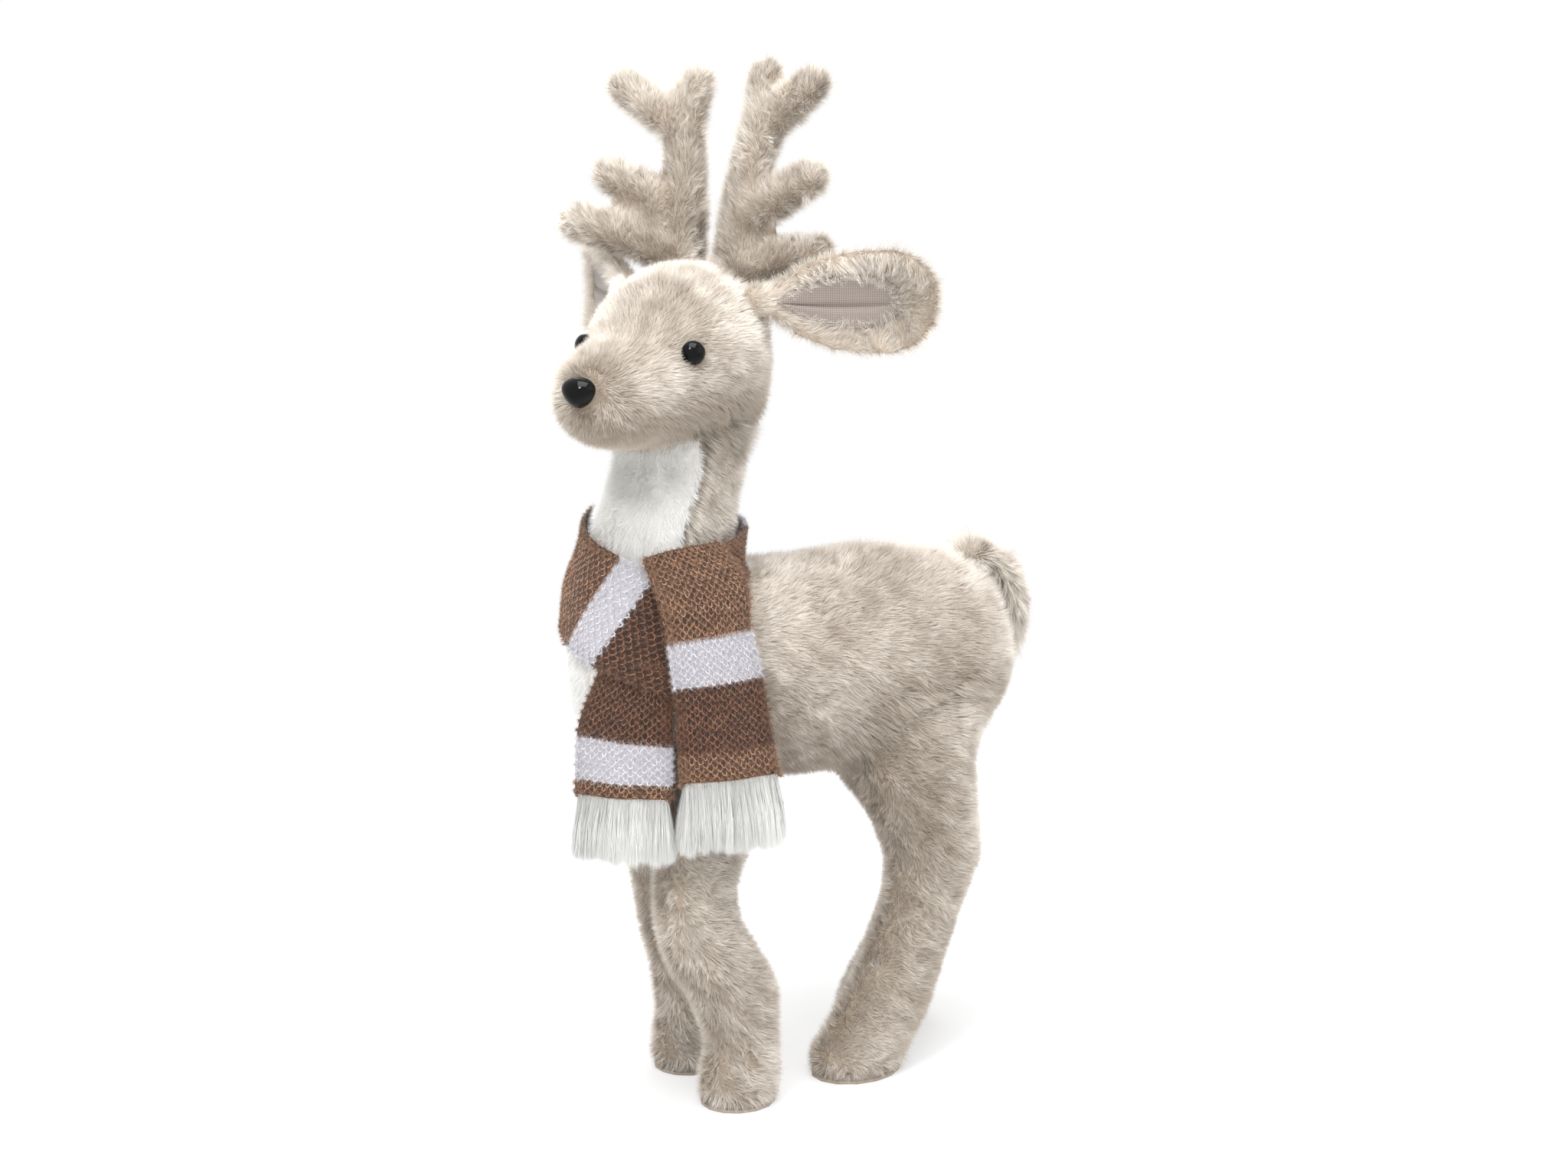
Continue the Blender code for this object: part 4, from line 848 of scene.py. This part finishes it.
def evenly(run, count, measure=None):
    """Points at even steps along a run of points, measured along it or along another run."""
    measure = run if measure is None else measure
    length = np.concatenate(((0,), np.cumsum(np.linalg.norm(np.diff(measure, axis=0), axis=1))))
    steps = np.linspace(0, length[-1], count)
    return np.column_stack([np.interp(steps, length, column) for column in run.T])


class Strip:
    """A strip of cloth as a grid of points: rows along it and columns across it."""

    def __init__(self, grid):
        self.grid = grid
        across = np.gradient(grid, axis=1)
        down = np.gradient(grid, axis=0)
        self.normals = unit(np.cross(down, across))
        self.length = np.linalg.norm(np.diff(grid, axis=0), axis=2).sum(axis=0).mean()
        self.width = np.linalg.norm(np.diff(grid, axis=1), axis=2).sum(axis=1).mean()

    def at(self, across, down, off):
        """The place at shares across and down the strip, set off along the normal, which comes too."""
        rows, columns = self.grid.shape[:2]
        x = np.clip(across, 0, 1) * (columns - 1)
        y = np.clip(down, 0, 1) * (rows - 1)
        i, j = np.minimum(y.astype(int), rows - 2), np.minimum(x.astype(int), columns - 2)
        p, q = (y - i)[..., None], (x - j)[..., None]
        placed = []
        for field in (self.grid, self.normals):
            top = field[i, j] * (1 - q) + field[i, j + 1] * q
            low = field[i + 1, j] * (1 - q) + field[i + 1, j + 1] * q
            placed.append(top * (1 - p) + low * p)
        spot, normal = placed[0], unit(placed[1])
        side = (self.grid[i, j + 1] - self.grid[i, j]) * (columns - 1)
        fall = (self.grid[i + 1, j] - self.grid[i, j]) * (rows - 1)
        spot = spot + side * (across - np.clip(across, 0, 1))[..., None]
        spot = spot + fall * (down - np.clip(down, 0, 1))[..., None]
        return spot + normal * off[..., None], normal


def band_tone(down, bands):
    """The yarn's tone at shares down the strip: each band is its lower end and its tone."""
    ends = np.array([end for end, _ in bands])
    return np.array([tone for _, tone in bands])[np.minimum(np.searchsorted(ends, down), len(bands) - 1)]


def dye_in_painted_light(finish, tone, colours):
    """A ramp of display colours along the tone, with a stop for each of the yarn's tones: the dyed yarn as it
    looks in one level of painted light and shade.
    """
    stops = [(place, rgba(*colour)[:3]) for place, colour in zip(YARN_TONES, colours)]
    return finish.node("ShaderNodeValToRGB", {"stops": stops}, {"Fac": tone})


YARN_TONES = (0.06, DARK, MEDIUM, 0.46, 0.56, PALE, 0.95)
yarn = Finish("mohair_yarn", 0.85, {"Sheen Weight": 0.3})
spot = yarn.node("ShaderNodeUVMap", {"uv_map": "OFBake"})
tone = yarn.node("ShaderNodeSeparateXYZ", {}, {"Vector": spot})
# deep is the yarn in painted shade, where it lies back in the knit, and bright is the yarn in painted light,
# where it stands out. The map's second coordinate blends them.
deep = dye_in_painted_light(yarn, tone, ((18, 10, 8), (24, 14, 10), (44, 26, 17), (66, 42, 29),
                        (146, 142, 149), (174, 171, 178), (200, 197, 204)))
bright = dye_in_painted_light(yarn, tone, ((150, 98, 72), (172, 118, 90), (220, 168, 130), (222, 184, 154),
                          (244, 243, 246), (250, 249, 252), (254, 254, 255)))
yarn.paint(blend_colours(yarn, tone.beside("Y").clamped(), deep, bright))


def yarn_rows(strip, bands, seed):
    """Zigzag courses that hook into each other: down = course + reach tanh(cos t), turned over in
    every second course, and off the cloth as it goes, so that each low point passes in front.

    The result is the path, its normals, the yarn's tone and how high it stands, for its shade.
    """
    draw = np.random.default_rng(seed)
    wales = round(strip.width / STITCH_WIDTH)
    courses = round(strip.length / STITCH_HEIGHT)
    turn = np.linspace(0, 2 * math.pi * wales, wales * YARN_STEPS + 1)[None, :]
    course = np.arange(courses)[:, None]
    way = np.where(course % 2, -1.0, 1.0)
    zigzag = way * np.tanh(LOOP_SQUARENESS * np.cos(turn)) / math.tanh(LOOP_SQUARENESS)
    across = (turn / (2 * math.pi) + draw.normal(0, WOBBLE_ACROSS, zigzag.shape)) / wales
    down = (course + 0.5 + LOOP_REACH_SHARE * zigzag + draw.normal(0, WOBBLE_DOWN, zigzag.shape)) / courses
    path, normal = strip.at(across, down, LOOP_DEPTH * zigzag)
    tone = band_tone((course + 0.5) / courses, bands) * np.ones_like(down)
    fleck = draw.normal(0, YARN_FLECK, down.shape) + draw.normal(0, COURSE_FLECK, (courses, 1))
    stitch = np.repeat(draw.normal(0, STITCH_FLECK, (courses, wales + 1)), YARN_STEPS, axis=1)[:, :turn.size]
    rise = SHADE_MIDDLE + SHADE_SWING * zigzag + stitch + draw.normal(0, SHADE_FLECK, down.shape)
    rise = np.clip(rise, MAP_LOW, 1)
    return path, normal, tone + fleck, rise


def tubes(name, path, normal, radius, tone, rise):
    """Round yarn along each row of a path: rings square to the path, drawn in at both ends."""
    rows, steps = path.shape[:2]
    ahead = unit(np.gradient(path, axis=1))
    side = unit(np.cross(ahead, normal))
    over = np.cross(side, ahead)
    turn = np.linspace(0, 2 * math.pi, YARN_SIDES, endpoint=False)
    taper = np.ones(steps)
    taper[[0, -1]] = YARN_END_SHARE
    ring = side[:, :, None] * np.cos(turn)[:, None] + over[:, :, None] * np.sin(turn)[:, None]
    points = path[:, :, None] + ring * (radius * taper[None, :, None, None])
    faces = grid_faces(steps, YARN_SIDES, closed=True)
    faces = (faces[None] + (np.arange(rows) * steps * YARN_SIDES)[:, None, None]).reshape(-1, 4)
    mesh = grid_mesh(name, points, faces)
    across = np.clip(tone, MAP_LOW, MAP_HIGH)[:, :, None] + MAP_TURN * np.cos(turn)
    map_onto(mesh, across, np.clip(rise[:, :, None] + MAP_HALF_WIDTH * np.sin(turn), MAP_LOW, MAP_HIGH))
    return mesh


def fibres(name, path, normal, tone, seed):
    """Loose fibres from the yarn: thin blades in all directions along the cloth, lifting a little.

    More of them start beside the two edges, within a twelfth of the width, and on the last row.
    """
    draw = np.random.default_rng(seed)
    rows, steps = path.shape[:2]
    count = rows * steps * FIBRES_A_STITCH // YARN_STEPS
    row = draw.integers(0, rows, count)
    step = draw.integers(0, steps, count)
    edge = draw.random(count)
    near = step // EDGE_DIVISION
    step = np.where(edge < EDGE_SHARE, near, np.where(edge > 1 - EDGE_SHARE, steps - 1 - near, step))
    row = np.where(np.abs(edge - 0.5) < HEM_SHARE / 2, rows - 1, row)
    start = path[row, step]
    out = normal[row, step] * np.where(draw.random(count) < OUTER_SHARE, 1, -1)[:, None]
    level = unit(flat_part(draw.normal(size=(count, 3)), out))
    way = unit(level + out * draw.uniform(0.0, 1.0, count)[:, None])
    side = unit(np.cross(way, out + 0.3 * draw.normal(size=(count, 3)))) * FIBRE_WIDTH / 2
    base = start + out * YARN_RADIUS * 0.6
    tip = base + way * (FIBRE_LENGTH * draw.uniform(*FIBRE_LENGTH_SHARES, count))[:, None]
    points = np.stack((base - side, base + side, tip), axis=1).reshape(-1, 3)
    mesh = triangles(name, points, np.arange(3 * count).reshape(-1, 3))
    across = np.clip(tone[row, step] + draw.normal(0, FIBRE_FLECK, count), MAP_LOW, MAP_HIGH)
    pale = tone[row, step] > WHITE_FROM
    across = np.where(pale, np.maximum(across, 0.6), np.minimum(across, WHITE_FROM))
    across = across[:, None] + MAP_TURN * np.array((-1, 1, 0))
    along = np.clip(draw.beta(0.5, 1.2, count)[:, None] + (-0.05, -0.05, 0.1), MAP_LOW, MAP_HIGH)
    map_onto(mesh, across, along)
    return mesh


def knit(name, strip, bands, body, node, seed):
    """One stretch of the scarf: its ground, its yarn and its halo, all on one body."""
    path, normal, tone, rise = yarn_rows(strip, bands, seed)
    rows, columns = strip.grid.shape[:2]
    # The ground is a sheet just behind the loops in the dark end of the yarn's ramp: painted shade in the
    # gaps between the stitches. GROUND_SHADE darkens it further in the brown bands.
    mesh = grid_mesh(name, strip.grid - strip.normals * GROUND_BEHIND, grid_faces(rows, columns))
    down = np.linspace(0, 1, rows)[:, None] * np.ones((1, columns))
    shade = band_tone(down, bands)
    shade = np.clip(shade - GROUND_SHADE * (shade < WHITE_FROM), MAP_LOW, MAP_HIGH)
    sway = 0.002 * np.linspace(-1, 1, columns)[None, :]
    map_onto(mesh, shade + sway, MAP_LOW + 0.04 * down)
    ground = piece(name + "_ground", mesh, yarn, body)
    thickened(ground, GROUND_THICKNESS)
    loops = tubes(name, path, normal, YARN_RADIUS, tone, rise)
    halo = fibres(name, path, normal, tone, seed + 50)
    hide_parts(node)
    return ground, [piece(name + "_yarn", loops, yarn, body),
                    piece(name + "_halo", halo, yarn, body)]


NECK_SEARCH = 125 * MM
NECK_SEARCH_REACH = 200 * MM
NECK_LEAD = 5 * MM
LOOP_LIFT = 1.5 * MM
LOOP_COLUMNS = 13
LOOP_ROUNDS = 6
LOOP_STEPS = 12
FOLD_DEPTH = 5.5 * MM


def facing_out(grid):
    """The strip with its normals away from the neck."""
    strip = Strip(grid)
    middle = grid.shape[0] // 2, grid.shape[1] // 2
    out = grid[middle] - np.array((PIVOT[0], PIVOT[1], grid[middle][2]))
    if strip.normals[middle] @ out < 0:
        strip.normals *= -1
    return strip


def out_of_neck(degrees, height, off):
    """A place round the neck: found by looking in from outside onto the neck, chest and bib."""
    turn = np.radians(degrees)
    way = np.stack((np.sin(turn), -np.cos(turn), np.zeros_like(turn)), axis=-1)
    start = np.stack(np.broadcast_arrays(PIVOT[0], PIVOT[1] - NECK_LEAD, height), axis=-1)
    start = start + way * (NECK_SEARCH * (0.5 + 0.5 * np.clip(np.cos(turn), 0, 1)))[..., None]
    depth = clear_ahead(start.reshape(-1, 3), -way.reshape(-1, 3), NECKLINE, NECK_SEARCH_REACH)
    return start - way * (depth.reshape(height.shape) - off)[..., None]


NECKLINE = tree_of(["neck", "torso", "chest_bib"])

# The loop's course: degrees from the front to the deer's left, the height, half width and
# stand-off of its middle in millimetres, and the degrees by which its upper edge runs ahead
ROUND_NECK = ((80, 358.5, 22.4, 4.5, 0), (100, 362, 22.0, 5.5, 0), (130, 371, 17.0, 6, 0),
              (180, 379, 14.5, 5, 0), (230, 379, 16.5, 5, 0), (270, 377, 23.0, 5, 0),
              (300, 374.2, 27.0, 4.5, 4), (325, 368.3, 28.8, 4.5, 8), (350, 358.5, 30.2, 4.6, 12),
              (375, 348.7, 30.8, 5.6, 15), (400, 338.9, 30.0, 7.0, 16), (416, 332.0, 30.0, 9.0, 16),
              (440, 322.0, 30.0, 11.0, 16))
LOOP_BANDS = ((0.16, MEDIUM), (0.28, PALE), (0.44, DARK), (0.76, MEDIUM), (0.84, PALE), (1.0, DARK))
degrees, height, half_width, off, lead = (column[:, None] for column in curve(ROUND_NECK, LOOP_STEPS).T)
across = np.linspace(1, -1, LOOP_COLUMNS)[None, :]
# A crease above the middle and a raised fold below it, deepest at 318 degrees
fold = np.exp(-((across - 0.35) / 0.25) ** 2) - 0.7 * np.exp(-((across + 0.25) / 0.4) ** 2)
fold = FOLD_DEPTH * fold * np.exp(-((degrees - 318) / 34) ** 2)
grid = out_of_neck(degrees + lead * across, (height + across * half_width) * MM, off * MM + LOOP_LIFT - fold)
for _ in range(LOOP_ROUNDS):
    grid[1:-1] = (grid[:-2] + 2 * grid[1:-1] + grid[2:]) / 4
    grid[:, 1:-1] = (grid[:, :-2] + 2 * grid[:, 1:-1] + grid[:, 2:]) / 4
middle = grid[:, LOOP_COLUMNS // 2]
grid = np.stack([evenly(column, len(grid), middle) for column in grid.swapaxes(0, 1)], axis=1)
loop_strip = facing_out(grid)
ground, with_it = knit("scarf_loop", loop_strip, LOOP_BANDS, "root", "scarf_loop", 1)

# Hanging ends: front and back edges from the top down, as x, y and z in millimetres, then the
# bands, the trim's length in millimetres and the seed
HANGING = {
    "left": (((80.5, -133.0, 379.5), (92.0, -133.0, 366.0), (102.5, -131.0, 346.0), (106.6, -126.7, 301.7),
              (108.3, -124.7, 269.4), (109.6, -124.0, 238.0)),
             ((89.5, -82.5, 387.5), (101.0, -69.0, 362.0), (108.0, -70.0, 332.0), (111.6, -64.1, 301.7),
              (113.6, -58.7, 264.5), (115.0, -53.3, 236.0)),
             ((0.38, MEDIUM), (0.585, PALE), (0.86, DARK), (1.0, MEDIUM)), 45, 10),
    "right": (((67.5, -151.5, 321.0), (62.5, -159.0, 300.0), (55.0, -167.5, 268.0), (53.7, -169.5, 225.0)),
              ((100.0, -124.4, 314.0), (101.0, -124.4, 287.0), (101.5, -124.4, 263.5),
               (101.5, -124.4, 226.0)),
              ((0.60, DARK), (0.885, PALE), (1.0, MEDIUM)), 40, 20),
}
PANEL_ROWS, PANEL_COLUMNS = 60, 15
PANEL_BOW = 5 * MM
EDGE_STEPS = 8
TRIM_HAIRS = 34000
TRIM_HAIR_WIDTH = 0.28 * MM
TRIM_ROOT_THICKNESS = 1.6 * MM
TRIM_HALF_THICKNESS = 3.4 * MM
TRIM_CLUMP = 2.0 * MM
TRIM_MARGIN = 0.04
TRIM_START_SHARE = 0.5
TRIM_TUCK_SHARE = 0.03
TRIM_SPLAY_SHARE = 0.12
TRIM_RAGGED_SHARE = 0.05
TRIM_CLUMP_LEAN, TRIM_HAIR_LEAN = 0.035, 0.03
TRIM_LONGEST, TRIM_SHORTENED = 1.12, 0.5
TRIM_LEAN = math.radians(84)
RIPPLE = 0.9 * MM
DOWN = np.array((0.0, 0.0, -1.0))
TRIM_SPREAD = math.radians(3.5)
TAPE_TOP = 1 * MM
TAPE_BOTTOM = 16 * MM
TAPE_THICKNESS = 1.2 * MM
TAPE_ROWS = 5
# The white hair's grey roots are painted shade inside the trim.
hair_white = pile_finish("white_hair", (rgba(168, 168, 166), rgba(200, 200, 197)),
                         (rgba(198, 198, 196), rgba(238, 238, 236)), 0.6)
for side, (front_edge, back_edge, bands, trim_length, seed) in HANGING.items():
    edges = [evenly(curve(np.array(edge) * MM, EDGE_STEPS), PANEL_ROWS)[:, None]
             for edge in (front_edge, back_edge)]
    share = np.linspace(0, 1, PANEL_COLUMNS)[None, :, None]
    flat = edges[0] * (1 - share) + edges[1] * share
    fall = np.linspace(0, 1, PANEL_ROWS)[:, None, None]
    # Each end bows out between its edges as a parabola, and ripples more towards its hem
    bow = PANEL_BOW * 4 * share * (1 - share) + RIPPLE * np.sin(share * 11 + fall * 3) * fall
    strip = facing_out(flat + facing_out(flat).normals * bow)
    ground, with_it = knit("scarf_end_" + side, strip, bands, "scarf_" + side, "scarf_end_" + side, seed)

    # Each hair starts at a share across, through and down the tape, and hangs to a ragged end
    draw = np.random.default_rng(seed + 7)
    u = TRIM_MARGIN + (1 - 2 * TRIM_MARGIN) * draw.random(TRIM_HAIRS)
    side_share = 2 * u - 1
    thick = draw.uniform(-1, 1, TRIM_HAIRS)
    start = draw.uniform(0, 1, TRIM_HAIRS) ** 1.6
    plump = TRIM_ROOT_THICKNESS + (TRIM_HALF_THICKNESS - TRIM_ROOT_THICKNESS) * np.sqrt(start)
    start *= TRIM_START_SHARE
    hem, out = strip.at(u, np.ones(TRIM_HAIRS), thick * plump * np.sqrt(1 - side_share ** 8))
    out = unit(out * (1, 1, 0))
    sideways = unit(strip.grid[-1, -1] - strip.grid[-1, 0])
    roots = hem + DOWN * ((start - TRIM_TUCK_SHARE) * trim_length * MM)[:, None]
    ragged = TRIM_RAGGED_SHARE * waves(roots * (1, 1, 0), TRIM_CLUMP, 1, seed)[:, 0]
    lengths = TRIM_LONGEST - start + ragged - TRIM_SHORTENED * draw.beta(1.1, 2.4, TRIM_HAIRS)
    lengths *= trim_length * MM
    clump = TRIM_CLUMP_LEAN * waves(roots * (1, 1, 0.2), TRIM_CLUMP, 3, seed + 1)
    clump = clump + draw.normal(0, TRIM_HAIR_LEAN, (TRIM_HAIRS, 3))
    splay = sideways * (side_share ** 3 * TRIM_SPLAY_SHARE)[:, None]
    splay = splay + out * (thick * TRIM_SPLAY_SHARE / 2)[:, None]
    way = unit(DOWN + splay + clump)
    facing = unit(flat_part(out * np.where(thick > 0, 1, -1)[:, None], way))
    mesh = blades("trim_" + side, roots, facing, way, lengths, TRIM_HAIR_WIDTH, TRIM_LEAN,
                  tones_at(roots), 0.0, DOWN + splay * 0.6 + clump, TRIM_SPREAD)
    hairs = piece("scarf_trim_" + side + "_hair", mesh, hair_white, "scarf_" + side)

    tape = strip.grid[-1, 1:-1][None] + np.linspace(TAPE_TOP, TAPE_BOTTOM, TAPE_ROWS)[:, None, None] * DOWN
    core = piece("scarf_trim_" + side + "_backing", grid_mesh("tape", tape, grid_faces(*tape.shape[:2])),
                 white_backing, "scarf_" + side)
    thickened(core, TAPE_THICKNESS)
    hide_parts("scarf_trim_" + side)


# Eyes and nose
# Moulded buttons of glossy black plastic, each a dome on a shank. The shank is pushed through
# the plush, and a washer locks it inside the head. The nose is wide and narrows downwards.
BUTTON_SIDES = 56
BUTTON_STEPS = 16
SHANK_CORNERS = 13
SHANK_SHARE, UNDERSIDE_SHARE, BEVEL_SHARE = 0.29, 0.93, 0.985
SKIRT_HEIGHT = 2 * MM
SKIRT_BEVEL = 0.4 * MM
# Half width, half height, the dome's rise, and how far the lower half is drawn in
BUTTON_SHAPES = {
    "eye_left": (7.6 * MM, 7.6 * MM, 6 * MM, 0.0),
    "eye_right": (7.6 * MM, 7.6 * MM, 6 * MM, 0.0),
    "nose": (13.6 * MM, 9.4 * MM, 9 * MM, 0.42),
}
black_gloss = grained("black_plastic", 0.06, {"Scale": 600.0, "Detail": 3.0}, (3, 3, 4), (10, 10, 10),
                      0.04, 0.1 * MM, {"Specular IOR Level": 0.18})


def shank_end(node):
    """The middle of a button's shank, deep in the head, and the top of its dome."""
    places = np.unique(np.round(read(frame["nodes"][node].data.vertices, "co", 3), 6), axis=0)
    order = np.argsort(np.linalg.norm(places - PIVOT, axis=1))
    deep = places[order[:SHANK_CORNERS]].mean(axis=0)
    return deep, places[np.argmax(np.linalg.norm(places - deep, axis=1))]


for node, (half_wide, half_high, dome, pear) in BUTTON_SHAPES.items():
    deep, top = shank_end(node)
    way = unit(top - deep)
    level = unit(np.cross((0, 0, 1), way))
    upright = np.cross(way, level)
    rim = np.linalg.norm(top - deep) - dome
    skirt = rim - SKIRT_HEIGHT
    # The profile: up the shank, out along a flat underside, then a dome that is a quarter ellipse
    quarter = np.linspace(0, math.pi / 2, BUTTON_STEPS)
    radii = (0, SHANK_SHARE, SHANK_SHARE, UNDERSIDE_SHARE, BEVEL_SHARE)
    radii = np.concatenate((radii, np.cos(quarter)))
    levels = np.concatenate(((0, 0, skirt, skirt, skirt + SKIRT_BEVEL), rim + dome * np.sin(quarter)))
    turn = np.linspace(0, 2 * math.pi, BUTTON_SIDES, endpoint=False)[None, :]
    shape = 1 + pear * (np.sin(turn) * 0.5 - 0.5)
    around = level * (np.cos(turn) * shape * half_wide)[..., None]
    around = around + upright * (np.sin(turn) * half_high)[..., None]
    points = deep + way * levels[:, None, None] + around * radii[:, None, None]
    build = bmesh.new()
    build.from_mesh(grid_mesh(node, points, grid_faces(len(radii), BUTTON_SIDES, closed=True)))
    bmesh.ops.remove_doubles(build, verts=build.verts, dist=0.01 * MM)
    bmesh.ops.recalc_face_normals(build, faces=build.faces)
    button = piece(node + "_button", smooth_mesh(node, build), black_gloss, "head")
    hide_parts(node)


# Inner pieces and soles
# A felt sole is sewn under each foot. The nylon washers, the steel foot weights and the wire
# frame lie inside. All of them keep their solids' shapes.
felt = grained("sole_felt", 0.95, {"Scale": 1200.0, "Detail": 6.0, "Roughness": 0.7},
               (150, 138, 124), (178, 166, 151), 0.5, 0.6 * MM)
nylon = grained("washer_nylon", 0.45, {"Scale": 900.0, "Detail": 2.0},
                (215, 213, 206), (232, 230, 224), 0.1, 0.2 * MM)
steel = grained("steel", 0.35, {"Scale": 700.0, "Detail": 4.0},
                (150, 150, 152), (190, 190, 192), 0.15, 0.3 * MM, {"Metallic": 1.0})
for word, finish in (("sole", felt), ("washer", nylon), ("weight", steel), ("wire", steel)):
    for node, solid in frame["nodes"].items():
        if word in node:
            for slot in solid.material_slots:
                slot.material = finish.material


# Studio
# A pale floor that fades to a white backdrop. A large soft lamp hangs overhead, a small one stands
# in front, and fainter large ones beside and behind. The white glow is for the camera alone.
FLOOR_REACH = 8.0
FLOOR_NEAR = 0.35
FLOOR_FAR = 1.3
FLOOR_GLOW = 0.55
FLOOR_COLOUR = (0.88, 0.88, 0.88, 1)
WHITE = (1, 1, 1, 1)
AMBIENT = 0.87


def seen_share(nodes):
    """1 where the camera looks, straight, in a gloss or through glass, and 0 for other light."""
    rays = nodes.node("ShaderNodeLightPath")
    return (rays + rays.beside("Is Glossy Ray") + rays.beside("Is Transmission Ray")).clamped()


def mixed_shaders(nodes, share, first, second, end):
    """Sends a mix of two shaders to the end of the tree."""
    mixed = nodes.node("ShaderNodeMixShader", {}, {0: share, 1: first, 2: second})
    nodes.tree.links.new(mixed.socket, nodes.tree.nodes[end].inputs["Surface"])


floor_finish = Finish("floor", 0.9, {"Base Color": FLOOR_COLOUR, "Specular IOR Level": 0.1})
place = floor_finish.node("ShaderNodeTexCoord", output="Object")
far = floor_finish.node("ShaderNodeVectorMath", {"operation": "LENGTH"}, {0: place}, "Value")
fade = ((far - FLOOR_NEAR) * (1 / (FLOOR_FAR - FLOOR_NEAR))).clamped()
glow = floor_finish.node("ShaderNodeEmission", {}, {"Color": WHITE, "Strength": 1.0})
share = seen_share(floor_finish) * (fade * (1 - FLOOR_GLOW) + FLOOR_GLOW)
plain = Value(floor_finish.shader.outputs[0], floor_finish.tree)
mixed_shaders(floor_finish, share, plain, glow, "Material Output")
floor_mesh = bpy.data.meshes.new("floor")
corners = [(x * FLOOR_REACH, y * FLOOR_REACH, 0) for x, y in ((-1, -1), (1, -1), (1, 1), (-1, 1))]
floor_mesh.from_pydata(corners, [], [(0, 1, 2, 3)])
floor_mesh.materials.append(floor_finish.material)
linked("floor", floor_mesh)

world = bpy.data.worlds.new("studio")
world.use_nodes = True
bpy.context.scene.world = world
sky = Nodes(world.node_tree)
sky.tree.nodes.remove(sky.tree.nodes["Background"])
ambient = sky.node("ShaderNodeBackground", {}, {"Color": WHITE, "Strength": AMBIENT})
backdrop = sky.node("ShaderNodeBackground", {}, {"Color": WHITE, "Strength": 1.0})
mixed_shaders(sky, seen_share(sky), ambient, backdrop, "World Output")


def lamp(name, azimuth, rise, reach, size, power):
    """A square soft lamp: its direction in degrees, reach and size in metres, and power in watts."""
    light = bpy.data.lights.new(name, "AREA")
    light.size = size
    light.energy = power
    aim(linked(name, light), math.radians(azimuth), math.radians(rise), reach)


lamp("overhead", 50, 74, 2.0, 1.6, 49)
lamp("front", 32, 42, 2.0, 0.36, 13)
lamp("side", 120, 25, 2.4, 1.6, 5)
lamp("back", 235, 30, 2.4, 1.6, 20)

bpy.context.scene.view_settings.view_transform = "Standard"
